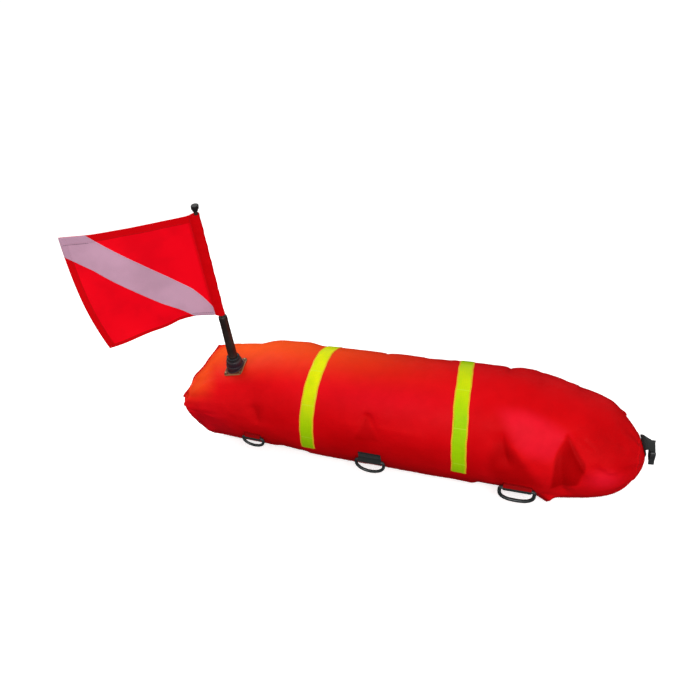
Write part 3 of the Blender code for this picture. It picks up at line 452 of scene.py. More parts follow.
def bump(nt, height, distance, strength=1.0, under=None):
    ins = {"Height": height, "Distance": distance, "Strength": strength}
    if under is not None:
        ins["Normal"] = under
    return nd(nt, "ShaderNodeBump", ins).outputs["Normal"]


def wave(nt, co, pitch, axis, phase=0.0):
    return nd(nt, "ShaderNodeTexWave", {"Vector": co, "Scale": 0.31416 / pitch, "Distortion": 0.0,
                                        "Phase Offset": phase},
              wave_type="BANDS", bands_direction=axis, wave_profile="SIN").outputs["Fac"]


def weave_height(nt, uv, pitch):
    """Over-and-under height of a plain weave."""
    a, b = wave(nt, uv, pitch, "X"), wave(nt, uv, pitch, "Y")
    both = calc(nt, "MULTIPLY", a, b)
    other = calc(nt, "MULTIPLY", calc(nt, "SUBTRACT", 1.0, a), calc(nt, "SUBTRACT", 1.0, b))
    return calc(nt, "ADD", both, other)


def nylon(name, deep, bright, painted_warm_light=None, pitch=0.0009, rough=(0.36, 0.50), specular=0.03,
          sheen=0.0, tone=False):
    m, nt, sh = new_mat(name)
    tc = nd(nt, "ShaderNodeTexCoord")
    ob, uv = tc.outputs["Object"], tc.outputs["UV"]
    broad, mid_, fine = noise(nt, ob, 7.0, 3), noise(nt, ob, 42.0, 4), noise(nt, ob, 900.0, 2)
    col = blend(nt, span(nt, broad, 0.36, 0.64, 0.0, 1.0, True), deep, bright)
    if painted_warm_light is not None:
        # painted warm light: the top of the bag's left half tinted orange, most towards its left end
        sep = nd(nt, "ShaderNodeSeparateXYZ", {"Vector": ob})
        along = span(nt, sep.outputs["X"], painted_warm_light[1], painted_warm_light[2], 1.0, 0.0, True)
        over = span(nt, sep.outputs["Y"], painted_warm_light[3], painted_warm_light[4], 0.0, 1.0, True)
        end = calc(nt, "MULTIPLY", span(nt, sep.outputs["X"], -0.345, -0.285, 0.85, 0.0, True),
                   span(nt, sep.outputs["Y"], -0.080, -0.045, 0.0, 1.0, True))
        high = span(nt, sep.outputs["Z"], 0.105, 0.150, 0.0, 1.0, True)
        fac = calc(nt, "MULTIPLY", calc(nt, "MAXIMUM", calc(nt, "MULTIPLY", along, over), end), high)
        fac = calc(nt, "MULTIPLY", fac, span(nt, mid_, 0.3, 0.7, 0.88, 1.0))
        col = blend(nt, fac, col, painted_warm_light[0])
    if tone:                       # painted highlight where the tone attribute is above 0, painted shade where it is below 0
        t_ = nd(nt, "ShaderNodeAttribute", attribute_name="tone").outputs["Fac"]
        col = blend(nt, span(nt, t_, 0.0, 1.0, 0.0, 1.0), col, (0.90, 0.0095, 0.0300))
        col = blend(nt, span(nt, t_, -1.0, 0.0, 1.0, 0.0), col, (0.36, 0.0002, 0.0006))
    col = blend(nt, span(nt, mid_, 0.40, 0.72, 0.0, 0.16), col, tuple(c * 0.55 for c in deep))
    thread = weave_height(nt, uv, pitch)
    col = blend(nt, span(nt, thread, 0.0, 1.0, 0.16, 0.0), col, tuple(c * 0.45 for c in deep))
    nt.links.new(col, sh.inputs["Base Color"])
    nt.links.new(span(nt, calc(nt, "ADD", mid_, calc(nt, "MULTIPLY", fine, 0.4)), 0.4, 1.0, *rough),
                 sh.inputs["Roughness"])
    sh.inputs["Specular IOR Level"].default_value = specular
    sh.inputs["Sheen Weight"].default_value = sheen
    sh.inputs["Sheen Roughness"].default_value = 0.45
    n1 = bump(nt, thread, 0.00009, 0.55)
    n2 = bump(nt, mid_, 0.0010, 0.22, n1)
    nt.links.new(bump(nt, broad, 0.0040, 0.10, n2), sh.inputs["Normal"])
    return m


def moulded(name, colour, worn, rough=(0.34, 0.52), grain=0.00005, specular=0.45, scale=420.0,
            metallic=0.0, pit=0.0, plate=None):
    """Moulded plastic, rubber or metal with fine grain and paler rubbed places."""
    m, nt, sh = new_mat(name)
    tc = nd(nt, "ShaderNodeTexCoord")
    ob = tc.outputs["Object"]
    broad, fine = noise(nt, ob, 55.0, 4, 0.6), noise(nt, ob, scale, 3, 0.6)
    point = nd(nt, "ShaderNodeNewGeometry").outputs["Pointiness"]
    rub = calc(nt, "MULTIPLY", span(nt, point, 0.505, 0.56, 0.0, 0.75),
               span(nt, broad, 0.35, 0.65, 0.3, 1.0))
    patch = span(nt, broad, 0.42, 0.75, 0.0, 0.35)
    col = blend(nt, patch, colour, worn)
    col = blend(nt, rub, col, worn)
    if plate is not None:                        # base plate of another tone round the boss
        (cx, cy), tone, rim = plate
        sep = nd(nt, "ShaderNodeSeparateXYZ", {"Vector": ob})
        dx, dy = calc(nt, "SUBTRACT", sep.outputs["X"], cx), calc(nt, "SUBTRACT", sep.outputs["Y"], cy)
        far = calc(nt, "SQRT", calc(nt, "ADD", calc(nt, "MULTIPLY", dx, dx), calc(nt, "MULTIPLY", dy, dy)))
        side = calc(nt, "MAXIMUM", calc(nt, "ABSOLUTE", dx), calc(nt, "ABSOLUTE", dy))
        flat = blend(nt, span(nt, broad, 0.35, 0.7, 0.0, 0.5), tone, tuple(0.6 * c for c in tone))
        flat = blend(nt, span(nt, side, 0.0164, 0.0170, 0.0, 0.85), flat, rim)
        col = blend(nt, span(nt, far, 0.0152, 0.0158, 0.0, 1.0), col, flat)
    nt.links.new(col, sh.inputs["Base Color"])
    nt.links.new(span(nt, calc(nt, "ADD", broad, calc(nt, "MULTIPLY", fine, 0.5)), 0.45, 1.05, *rough),
                 sh.inputs["Roughness"])
    sh.inputs["Specular IOR Level"].default_value = specular
    sh.inputs["Metallic"].default_value = metallic
    n1 = bump(nt, fine, grain, 0.8)
    nt.links.new(bump(nt, broad, 0.0003 + pit, 0.25, n1), sh.inputs["Normal"])
    return m


def webbing(name, colour, pale, pitch=0.0016, rough=(0.62, 0.82), sheen=0.15):
    """Flat woven strap: ribs across it with a twill of paler threads."""
    m, nt, sh = new_mat(name)
    tc = nd(nt, "ShaderNodeTexCoord")
    ob, uv = tc.outputs["Object"], tc.outputs["UV"]
    tilt = nd(nt, "ShaderNodeMapping", {"Vector": uv, "Rotation": (0, 0, 0.62)}).outputs[0]
    twill = wave(nt, tilt, pitch, "X")
    rib = wave(nt, uv, pitch * 0.9, "Y")
    edge = wave(nt, uv, pitch * 0.7, "X")
    h = calc(nt, "ADD", calc(nt, "MULTIPLY", twill, 0.55), calc(nt, "ADD", calc(nt, "MULTIPLY", rib, 0.3),
                                                            calc(nt, "MULTIPLY", edge, 0.15)))
    fuzz = noise(nt, ob, 300.0, 4)
    col = blend(nt, calc(nt, "MULTIPLY", span(nt, h, 0.35, 0.95, 0.0, 0.7), span(nt, fuzz, 0.3, 0.7, 0.4, 1.0)),
                colour, pale)
    nt.links.new(col, sh.inputs["Base Color"])
    nt.links.new(span(nt, fuzz, 0.3, 0.7, *rough), sh.inputs["Roughness"])
    sh.inputs["Specular IOR Level"].default_value = 0.25 if sheen else 0.06
    sh.inputs["Sheen Weight"].default_value = sheen
    nt.links.new(bump(nt, h, 0.00022, 0.85), sh.inputs["Normal"])
    return m


def thread(name, colour, dark):
    m, nt, sh = new_mat(name)
    tc = nd(nt, "ShaderNodeTexCoord")
    twist = nd(nt, "ShaderNodeMapping", {"Vector": tc.outputs["Object"],
                                         "Rotation": (0.5, 0.4, 0.7)}).outputs[0]
    w = wave(nt, twist, 0.0005, "X")
    col = blend(nt, span(nt, w, 0.2, 0.9, 0.0, 0.8), dark, colour)
    nt.links.new(blend(nt, span(nt, noise(nt, tc.outputs["Object"], 60.0), 0.35, 0.7, 0.0, 0.35), col, dark),
                 sh.inputs["Base Color"])
    sh.inputs["Roughness"].default_value = 0.62
    sh.inputs["Specular IOR Level"].default_value = 0.3
    nt.links.new(bump(nt, w, 0.00008, 0.7), sh.inputs["Normal"])
    return m


def tape(name, yellow_low, yellow_high):
    """Reflective tape: a glossy lime core of tiny prisms between two amber sewing borders."""
    m, nt, sh = new_mat(name)
    tc = nd(nt, "ShaderNodeTexCoord")
    ob, uv = tc.outputs["Object"], tc.outputs["UV"]
    sep = nd(nt, "ShaderNodeSeparateXYZ", {"Vector": uv})
    off = calc(nt, "ABSOLUTE", calc(nt, "SUBTRACT", sep.outputs["X"], BAND_W / 2))
    border = span(nt, off, 0.0098, 0.0104, 0.0, 1.0)
    rim = span(nt, off, 0.0119, 0.0124, 0.0, 1.0)
    cell = nd(nt, "ShaderNodeTexVoronoi", {"Vector": uv, "Scale": 330.0, "Randomness": 0.18},
              feature="DISTANCE_TO_EDGE").outputs["Distance"]
    facet = nd(nt, "ShaderNodeTexVoronoi", {"Vector": uv, "Scale": 330.0, "Randomness": 0.18})
    tone = nd(nt, "ShaderNodeSeparateColor", {"Color": facet.outputs["Color"]}).outputs["Red"]
    smear = noise(nt, nd(nt, "ShaderNodeMapping", {"Vector": uv, "Scale": (40.0, 26.0, 1.0)}).outputs[0], 1.0, 3)
    # painted light: the core turns paler yellow towards the top of the band
    height = nd(nt, "ShaderNodeSeparateXYZ", {"Vector": ob}).outputs["Z"]
    painted_band_light = span(nt, height, yellow_low, yellow_high, 0.0, 1.0, True)
    core = blend(nt, painted_band_light, (0.33, 0.60, 0.0015), (0.74, 0.74, 0.002))
    core = blend(nt, span(nt, smear, 0.38, 0.66, 0.0, 0.40), core, (0.27, 0.52, 0.003))
    core = blend(nt, span(nt, tone, 0.0, 1.0, 0.0, 0.22), core, (0.42, 0.72, 0.004))
    core = blend(nt, span(nt, cell, 0.0, 0.12, 0.22, 0.0), core, (0.22, 0.40, 0.01))
    weld = span(nt, wave(nt, uv, 0.062, "Y", 2.4), 0.9985, 0.9998, 0.0, 0.55)
    core = blend(nt, weld, core, (0.56, 0.80, 0.05))
    amber = blend(nt, span(nt, smear, 0.35, 0.65, 0.0, 1.0), (0.74, 0.47, 0.010), (0.78, 0.55, 0.022))
    # painted shade: the outermost edge of the tape in a darker orange
    amber = blend(nt, rim, amber, (0.62, 0.24, 0.015))
    nt.links.new(blend(nt, border, core, amber), sh.inputs["Base Color"])
    nt.links.new(span(nt, border, 0.0, 1.0, 0.26, 0.52), sh.inputs["Roughness"])
    sh.inputs["Specular IOR Level"].default_value = 0.04
    sh.inputs["Coat Weight"].default_value = 0.04
    sh.inputs["Coat Roughness"].default_value = 0.12
    # painted light: the tape gives out a faint glow of its own colour, though it is no lamp
    glow = blend(nt, border, core, amber)
    nt.links.new(glow, sh.inputs["Emission Color"])
    sh.inputs["Emission Strength"].default_value = 0.06
    prism = calc(nt, "MULTIPLY", span(nt, cell, 0.0, 0.3, 0.0, 1.0), calc(nt, "SUBTRACT", 1.0, border))
    n1 = bump(nt, prism, 0.00006, 0.5)
    nt.links.new(bump(nt, smear, 0.0006, 0.35, n1), sh.inputs["Normal"])
    return m


def flag_cloth(name, thin, hem, glow):
    m, nt, sh = new_mat(name)
    tc = nd(nt, "ShaderNodeTexCoord")
    ob, uv = tc.outputs["Object"], tc.outputs["UV"]
    mask = nd(nt, "ShaderNodeAttribute", attribute_name="hem").outputs["Fac"]
    broad, fine = noise(nt, ob, 16.0, 3), noise(nt, ob, 700.0, 2)
    col = blend(nt, span(nt, broad, 0.35, 0.65, 0.0, 1.0, True), thin, tuple(c * 0.86 for c in thin))
    # painted shade: darker where the cloth lies double, as less light comes through it
    col = blend(nt, mask, col, hem)
    w = weave_height(nt, uv, 0.0007)
    col = blend(nt, span(nt, w, 0.0, 1.0, 0.20, 0.0), col, tuple(c * 0.5 for c in thin))
    nt.links.new(col, sh.inputs["Base Color"])
    nt.links.new(span(nt, fine, 0.3, 0.7, 0.52, 0.68), sh.inputs["Roughness"])
    sh.inputs["Specular IOR Level"].default_value = 0.04
    nt.links.new(col, sh.inputs["Emission Color"])
    sh.inputs["Emission Strength"].default_value = glow      # daylight through the thin cloth
    n1 = bump(nt, w, 0.00009, 0.6)
    nt.links.new(bump(nt, broad, 0.0016, 0.2, n1), sh.inputs["Normal"])
    return m


# ------------------------------------------------------------------ mesh helpers
def make(name, mesh, mat, body, nodes=(), sharp=40.0):
    mesh.materials.clear()
    mesh.materials.append(mat)
    mesh.shade_smooth()
    if sharp:
        mesh.set_sharp_from_angle(angle=math.radians(sharp))
    obj = bpy.data.objects.new(name, mesh)
    bpy.context.scene.collection.objects.link(obj)
    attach(obj, body)
    if nodes:
        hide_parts(*nodes)
    return obj


def grid_mesh(name, P, uv=None, loop=False, ring=False, caps=(False, False), attr=None, weld=0.0):
    """Mesh over a grid of points; loop closes its columns, ring its rows."""
    P = np.asarray(P, float)
    n, m = P.shape[:2]
    i, j = np.meshgrid(np.arange(n if ring else n - 1), np.arange(m if loop else m - 1), indexing="ij")
    i2, j2 = (i + 1) % n, (j + 1) % m
    faces = np.stack([i * m + j, i * m + j2, i2 * m + j2, i2 * m + j], -1).reshape(-1, 4).tolist()
    quads = len(faces)
    if caps[0]:
        faces.append(list(range(m)))
    if caps[1]:
        faces.append(list(range((n - 1) * m, n * m)))
    mesh = bpy.data.meshes.new(name)
    mesh.from_pydata(P.reshape(-1, 3).tolist(), [], faces)
    if uv is not None:
        U = np.asarray(uv, float)
        if loop and U.shape[1] == m:
            U = np.concatenate([U, 2 * U[:, -1:] - U[:, -2:-1]], 1)
        if ring and U.shape[0] == n:
            U = np.concatenate([U, 2 * U[-1:] - U[-2:-1]], 0)
        ia, ja = i, j
        co = np.stack([U[ia, ja], U[ia, ja + 1], U[ia + 1, ja + 1], U[ia + 1, ja]], 2).reshape(-1, 2)
        rest = sum(len(f) for f in faces[quads:])
        co = np.concatenate([co, np.zeros((rest, 2))], 0)
        layer = mesh.uv_layers.new(name="UVMap")
        layer.data.foreach_set("uv", co.astype(np.float32).ravel())
    if attr:
        for key, val in attr.items():
            at = mesh.attributes.new(key, "FLOAT", "POINT")
            at.data.foreach_set("value", np.asarray(val, np.float32).ravel())
    bm = bmesh.new()
    bm.from_mesh(mesh)
    if weld:
        bmesh.ops.remove_doubles(bm, verts=bm.verts, dist=weld)
    bmesh.ops.dissolve_degenerate(bm, edges=bm.edges, dist=1e-7)
    bmesh.ops.recalc_face_normals(bm, faces=bm.faces)
    bm.to_mesh(mesh)
    bm.free()
    return mesh


def fillet(pts, r, n=4, closed=True):
    """Rounds the corners of an outline of 2-D points; points on the axis stay."""
    out = []
    k = len(pts)
    for i, p in enumerate(pts):
        if not closed and i in (0, k - 1):
            out.append(p)
            continue
        a, b = pts[i - 1], pts[(i + 1) % k]
        if abs(p[0]) < 1e-7:
            out.append(p)
            continue
        va, vb = np.subtract(a, p), np.subtract(b, p)
        la, lb = np.linalg.norm(va), np.linalg.norm(vb)
        d = min(r, 0.42 * la, 0.42 * lb)
        if d < 1e-6:
            out.append(p)
            continue
        s, e = np.add(p, va / la * d), np.add(p, vb / lb * d)
        for q in range(n + 1):
            t = q / n
            out.append(tuple((1 - t) ** 2 * s + 2 * t * (1 - t) * np.array(p) + t * t * e))
    return out


def lathe(name, profile, steps, mat, body, nodes, matrix, r=0.0004, shape=None, sharp=38.0):
    """Turned piece: outline rounded, spun round Z, placed by matrix (bag's frame)."""
    prof = fillet(profile, r)
    th = np.linspace(0, math.tau, steps, endpoint=False)
    R = np.array([p[0] for p in prof])[:, None] * np.ones(steps)[None]
    Z = np.array([p[1] for p in prof])[:, None] * np.ones(steps)[None]
    if shape is not None:
        R, Z = shape(R, Z, th[None])
    P = np.stack([R * np.cos(th), R * np.sin(th), Z], -1)
    P = P @ np.array(matrix.to_3x3()).T + np.array(matrix.translation)
    arc = np.concatenate([[0], np.cumsum(np.hypot(np.diff(R[:, 0]), np.diff(Z[:, 0])))])
    uv = np.stack(np.broadcast_arrays(th[None] * np.maximum(R, 1e-4), arc[:, None]), -1)
    mesh = grid_mesh(name, P + OFF, uv, loop=True, ring=True, weld=2e-7)
    return make(name, mesh, mat, body, nodes, sharp)


def stitches(name, rows, mat, body, pitch=0.0034, length=0.0026, r=0.00023, press=0.3):
    """Lines of thread: each stitch a short arched capsule lying along its line.
    rows is a list of (points, normals) in the bag's frame."""
    verts, faces = [], []
    ts = np.array((-0.5, -0.40, -0.2, 0.0, 0.2, 0.40, 0.5))
    rr = np.array((0.30, 0.80, 1.0, 1.05, 1.0, 0.80, 0.30))
    arch = np.array((-0.55, 0.05, 0.55, 0.70, 0.55, 0.05, -0.55))
    th = np.linspace(0, math.tau, 6, endpoint=False)
    for pts, nrm in rows:
        pts, nrm = np.asarray(pts, float), unit(np.asarray(nrm, float))
        seg = np.linalg.norm(np.diff(pts, axis=0), axis=1)
        arc = np.concatenate([[0], np.cumsum(seg)])
        count = max(1, int(arc[-1] / pitch))
        real = arc[-1] / count
        mids = (np.arange(count) + 0.5) * real
        for c in mids:
            s = np.clip(c + ts * length * real / pitch, 0, arc[-1])
            P = np.stack([np.interp(s, arc, pts[:, k]) for k in range(3)], -1)
            N = unit(np.stack([np.interp(s, arc, nrm[:, k]) for k in range(3)], -1))
            T = unit(np.gradient(P, axis=0))
            B = unit(np.cross(T, N))
            P = P + N * (arch * r + press * r)[:, None]
            ring_ = (P[:, None] + r * rr[:, None, None]
                     * (np.cos(th)[None, :, None] * B[:, None] + np.sin(th)[None, :, None] * N[:, None]))
            o = len(verts)
            verts.extend((ring_.reshape(-1, 3) + OFF).tolist())
            for i in range(6):
                for j in range(6):
                    faces.append((o + i * 6 + j, o + i * 6 + (j + 1) % 6,
                                  o + (i + 1) * 6 + (j + 1) % 6, o + (i + 1) * 6 + j))
            faces.append(tuple(o + j for j in range(6)))
            faces.append(tuple(o + 36 + j for j in range(6)))
    mesh = bpy.data.meshes.new(name)
    mesh.from_pydata(verts, [], faces)
    bm = bmesh.new()
    bm.from_mesh(mesh)
    bmesh.ops.recalc_face_normals(bm, faces=bm.faces)
    bm.to_mesh(mesh)
    bm.free()
    return make(name, mesh, mat, body, (), 70)


def on_bag(x, a, lift):
    """Points and normals of a line drawn on the bag."""
    p = surf(x, a, lift)
    n = normal_of(lambda q, w: surf(q, w, 0.0), np.asarray(x, float) + 0 * np.asarray(a, float),
                  np.asarray(a, float) + 0 * np.asarray(x, float))
    return p, n


# ------------------------------------------------------------------ materials
RED, RED_HI = (0.68, 0.0016, 0.0040), (0.76, 0.0034, 0.0066)
# ORANGE is painted warm light on the top of the bag's left half
ORANGE = (0.95, 0.100, 0.011)
m_cover = nylon("cover_nylon", RED, RED_HI, painted_warm_light=(ORANGE, -0.27, 0.16, -0.052, 0.050), tone=True)
m_patch = nylon("patch_nylon", RED, RED_HI, pitch=0.0008)
m_bind = nylon("binding_tape", (0.44, 0.004, 0.010), (0.60, 0.010, 0.012), pitch=0.0012,
               rough=(0.48, 0.62))
m_thread_red = thread("thread_red", (0.40, 0.006, 0.010), (0.16, 0.002, 0.004))
m_thread_amber = thread("thread_amber", (0.90, 0.60, 0.06), (0.40, 0.07, 0.01))
m_thread_white = thread("thread_white", (0.72, 0.60, 0.66), (0.36, 0.20, 0.28))
m_thread_grey = thread("thread_grey", (0.20, 0.12, 0.17), (0.10, 0.05, 0.08))
m_thread_black = thread("thread_black", (0.050, 0.050, 0.052), (0.012, 0.012, 0.013))
m_thread_flag = thread("thread_flag_red", (0.62, 0.010, 0.02), (0.28, 0.002, 0.006))
m_tape_left = tape("tape_left", 0.105, 0.188)
m_tape_right = tape("tape_right", 0.170, 0.215)
m_black = moulded("black_plastic", (0.016, 0.018, 0.020), (0.060, 0.066, 0.068), (0.30, 0.46))
m_cap = moulded("cap_plastic", (0.012, 0.012, 0.013), (0.036, 0.038, 0.040), (0.55, 0.70), specular=0.12)
m_ring = moulded("ring_plastic", (0.014, 0.018, 0.019), (0.055, 0.066, 0.066), (0.28, 0.44), scale=300)
m_socket = moulded("socket_plastic", (0.017, 0.010, 0.018), (0.070, 0.050, 0.046), (0.34, 0.50), specular=0.28,
                   plate=((POLE_X + OFF[0], POLE_Y + OFF[1]), (0.125, 0.030, 0.013), (0.300, 0.150, 0.060)))
m_collar = moulded("collar_rubber", (0.008, 0.013, 0.015), (0.034, 0.040, 0.042), (0.46, 0.62), specular=0.28)
m_pole = moulded("pole_plastic", (0.016, 0.012, 0.010), (0.060, 0.048, 0.038), (0.34, 0.52), specular=0.30,
                 scale=240)
m_rubber = moulded("valve_rubber", (0.016, 0.016, 0.018), (0.052, 0.052, 0.056), (0.50, 0.66))
m_steel = moulded("rivet_metal", (0.20, 0.13, 0.075), (0.34, 0.25, 0.16), (0.34, 0.50), metallic=1.0)
m_ferrule = moulded("ferrule_metal", (0.52, 0.52, 0.50), (0.66, 0.66, 0.64), (0.22, 0.38), metallic=1.0)
m_film = moulded("bladder_film", (0.62, 0.60, 0.55), (0.74, 0.73, 0.70), (0.22, 0.36), scale=90)
m_web_black = webbing("webbing_black", (0.007, 0.009, 0.009), (0.030, 0.039, 0.036))
m_web_red = webbing("webbing_red", (0.28, 0.0006, 0.0018), (0.35, 0.0010, 0.0028), sheen=0.0)
m_flag = flag_cloth("flag_red", (0.92, 0.0012, 0.0100), (0.60, 0.0008, 0.0030), 0.20)
# the white stripe given a greyed pink: painted shade, with the red flag's light through the cloth painted in
m_stripe = flag_cloth("flag_white", (0.66, 0.38, 0.52), (0.52, 0.30, 0.42), 0.08)

# ------------------------------------------------------------------ cover
xs = np.unique(np.concatenate([
    np.linspace(-0.306, -0.250, 36), np.linspace(-0.250, 0.225, 170),
    np.linspace(0.225, 0.420, 116), 0.420 + 0.052 * np.sin(np.linspace(0, math.pi / 2, 40))]).round(6))
angles = np.linspace(-math.pi / 2, 1.5 * math.pi, 289)[:-1]
extra = []
for deg in (-SEAM_DROP, 180 + SEAM_DROP):
    extra += [math.radians(deg) + s / ARC for s in (-0.0058, -0.0050, -0.0042, -0.0034, 0.0034,
                                                    0.0042, 0.0050, 0.0058)]
angles = np.unique(np.concatenate([angles, extra]).round(6))
X, A = np.meshgrid(xs, angles, indexing="ij")
P = surf(X, A)
# both ends turn in and close under the binding and the end patch
first, last = P[0], P[-1]
lead = []
mid0 = first.mean(0)
for k, (flat, dx) in enumerate(((0.45, -0.0009), (0.80, -0.0006))):
    r_ = first.copy()
    r_[:, 2] = mid0[2] + (r_[:, 2] - mid0[2]) * flat
    r_[:, 1] = mid0[1] + (r_[:, 1] - mid0[1]) * (0.975 + 0.02 * k)
    r_[:, 0] += dx
    lead.append(r_)
tail = []
c1 = last.mean(0)
for k, (s_, dx) in enumerate(((0.75, 0.0004), (0.45, 0.0007), (0.15, 0.0009))):
    r_ = c1 + (last - c1) * s_
    r_[:, 0] += dx
    tail.append(r_)
P = np.concatenate([np.stack(lead), P, np.stack(tail)], 0)
row_x = np.concatenate([[xs[0] - 0.004, xs[0] - 0.002], xs, xs[-1] + np.array((0.002, 0.005, 0.008))])
uv = np.stack(np.broadcast_arrays(row_x[:, None], (angles * ARC)[None]), -1)
uv = np.concatenate([uv, np.stack([row_x, np.full(len(row_x), (angles[0] + math.tau) * ARC)], -1)[:, None]], 1)
# painted light and shade of the folds, kept as the tone attribute for the cover's material
T = np.zeros(P.shape[:2])
T[2:2 + len(xs)] = painted_fold_light(X, A)
mesh = grid_mesh("cover", P + OFF, uv, loop=True, caps=(True, True), attr={"tone": T})
cover = make("cover", mesh, m_cover, "float_body", ("cover_shell",), 60)

rows = []
line_x = np.linspace(-0.286, 0.436, 1400)
for deg in (-SEAM_DROP, 180 + SEAM_DROP):
    for s_ in (-0.0022, 0.0022):
        rows.append(on_bag(line_x, np.full(len(line_x), math.radians(deg) + s_ / ARC), 0.00005))
stitches("cover_seam_stitching", rows, m_thread_red, "float_body")

# rolled and bound edge of the flat seam
n_y, n_c = 150, 22
ys = np.linspace(-1, 1, n_y)
loops = []
for k, t in enumerate(ys):
    y = 0.0050 + (0.0700 if t > 0 else 0.0712) * t
    end = math.sqrt(max(0.0, 1 - abs(t) ** 14))
    pucker = 1 + 0.10 * math.sin(t * 61 + 1.4 * math.sin(t * 17)) + 0.05 * math.sin(t * 133)
    sway_x = 0.0005 * math.sin(t * 9.0 + 0.6)
    sway_z = 0.0008 * math.sin(t * 5.0 + 1.1) - 0.0007 * t * t
    row = []
    for c in range(n_c):
        th_ = math.tau * c / n_c
        rx = 0.0031 * (0.35 + 0.65 * end) * (1 + 0.05 * math.sin(3 * th_ + t * 20))
        rz = 0.0037 * (0.30 + 0.70 * end) * pucker
        row.append((-0.3070 + sway_x - 0.0004 * max(0.0, -t) ** 6 + rx * math.cos(th_), y, 0.0302 + sway_z + rz * math.sin(th_)))
    loops.append(row)
P = lean(np.array(loops))
arc = np.arange(n_c + 1) * 0.00098
uv = np.stack(np.broadcast_arrays(ys[:, None] * 0.07, arc[None]), -1)
make("seam_binding", grid_mesh("seam_binding", P + OFF, uv, loop=True, caps=(True, True)), m_bind,
     "float_body", ("end_seam_binding",), 60)
rows = []
for c, dx in ((5, 0.0), (17, 0.0)):
    pts = P[6:-6, c]
    nn = np.zeros_like(pts)
    nn[:, 2] = 1 if c == 5 else -1
    nn[:, 0] = -0.2
    rows.append((pts, nn))
stitches("seam_binding_stitching", rows, m_thread_red, "float_body", 0.0030, 0.0022, 0.00022)

# patch over the closed right end
px = np.concatenate([np.linspace(0.4568, 0.4575, 3), 0.4575 + 0.0145 * np.sin(np.linspace(0.1, math.pi / 2, 22))])
pa = np.linspace(-math.pi / 2, 1.5 * math.pi, 181)[:-1]
PX, PA = np.meshgrid(px, pa, indexing="ij")
outer = surf(PX, PA, 0.0008)
outer[0] = surf(PX[0], PA[0], 0.0002)
outer[1] = surf(PX[1], PA[1], 0.0006)
c1 = outer[-1].mean(0)
end_rows = []
for s_, dx in ((0.86, 0.0004), (0.66, 0.0008), (0.42, 0.0011), (0.18, 0.0012)):
    r_ = c1 + (outer[-1] - c1) * s_
    r_[:, 0] += dx
    end_rows.append(r_)
inner = surf(PX[::-1], PA[::-1], 0.0001)
ci = inner[0].mean(0)
in_rows = []
for s_ in (0.18, 0.6):
    in_rows.append(ci + (inner[0] - ci) * s_)
P = np.concatenate([outer, np.stack(end_rows), np.stack(in_rows), inner], 0)
uv = np.stack(np.broadcast_arrays(np.arange(len(P))[:, None] * 0.0009, (pa * 0.05)[None]), -1)
make("end_patch_cover", grid_mesh("end_patch_cover", P + OFF, uv, loop=True, ring=True), m_patch,
     "float_body", ("end_patch",), 60)
pa2 = np.linspace(-math.pi / 2, 1.5 * math.pi, 500)
stitches("end_patch_stitching", [on_bag(np.full(500, 0.4592), pa2, 0.00085)], m_thread_red,
         "float_body", 0.0030, 0.0022)

# ------------------------------------------------------------------ reflective bands
SKEW = {"left": ((-14, 22, 42, 60, 75, 92, 125, 160, 194), (-4.8, -2.7, -1.8, 0.0, 2.0, 3.2, 8.0, 9.0, 8.0)),
        "right": ((-9, 22, 42, 60, 75, 92, 125, 160, 189), (6.6, 4.0, 2.4, 0.2, -0.9, -1.8, -4.2, -5.0, -4.4))}


def sewn_askew(side, a):
    """How far along the bag the tape wanders at this angle."""
    deg, mm = SKEW[side]
    at = np.degrees(a)
    out = sum(np.interp(at + e, deg, mm) for e in (-9.0, -4.5, 0.0, 4.5, 9.0)) / 5
    return out / 1000


for side, x0, drop in BANDS:
    a = np.radians(np.linspace(-drop, 180 + drop, 240))
    half = BAND_W / 2
    prof = [(-half + 0.00015, 0.00008), (half - 0.00015, 0.00008)]
    top_side = [(half, 0.00030), (half - 0.0002, 0.00052), (half - 0.0009, 0.00056),
                (half - 0.0013, 0.00046), (half - 0.0017, 0.00056), (half - 0.0021, 0.00060),
                (half - 0.0025, 0.00092), (half - 0.0032, 0.00098)]
    core = [(t, 0.00098 + 0.00003 * math.cos(t * 900)) for t in np.linspace(half - 0.0045, -half + 0.0045, 9)]
    prof += top_side + core + [(-u_, h) for u_, h in reversed(top_side)]
    off = np.array([p[0] for p in prof]) + half
    lift = np.array([p[1] for p in prof])
    AA, OO = np.meshgrid(a, off, indexing="ij")
    LL = np.broadcast_to(lift, OO.shape)
    wob = 0.0003 * np.sin(AA * 9 + 1.0) + 0.0002 * np.sin(AA * 23)
    P = surf(x0 + OO + wob + sewn_askew(side, AA), AA, LL)
    uv = np.stack([OO, AA * 0.0985], -1)
    uv = np.concatenate([uv, uv[:, :1]], 1)
    make("band_" + side, grid_mesh("band_" + side, P + OFF, uv, loop=True, caps=(True, True)),
         m_tape_left if side == "left" else m_tape_right, "float_body",
         ("reflective_band_" + side,), 50)
    rows = []
    aa = np.radians(np.linspace(-drop + 0.6, 180 + drop - 0.6, 900))
    wb = 0.0003 * np.sin(aa * 9 + 1.0) + 0.0002 * np.sin(aa * 23) + sewn_askew(side, aa)
    for o in (0.0013, BAND_W - 0.0013):
        rows.append(on_bag(x0 + o + wb, aa, 0.00046))
    for end in (-drop + 0.9, 180 + drop - 0.9):
        xx = np.linspace(x0 + 0.0024, x0 + BAND_W - 0.0024, 60)
        rows.append(on_bag(xx + sewn_askew(side, math.radians(end)), np.full(60, math.radians(end)), 0.00095))
    stitches("band_%s_stitching" % side, rows, m_thread_amber, "float_body")

# ------------------------------------------------------------------ D-rings and their tabs
JOINTS = {j["name"]: j for j in frame["joints"]}


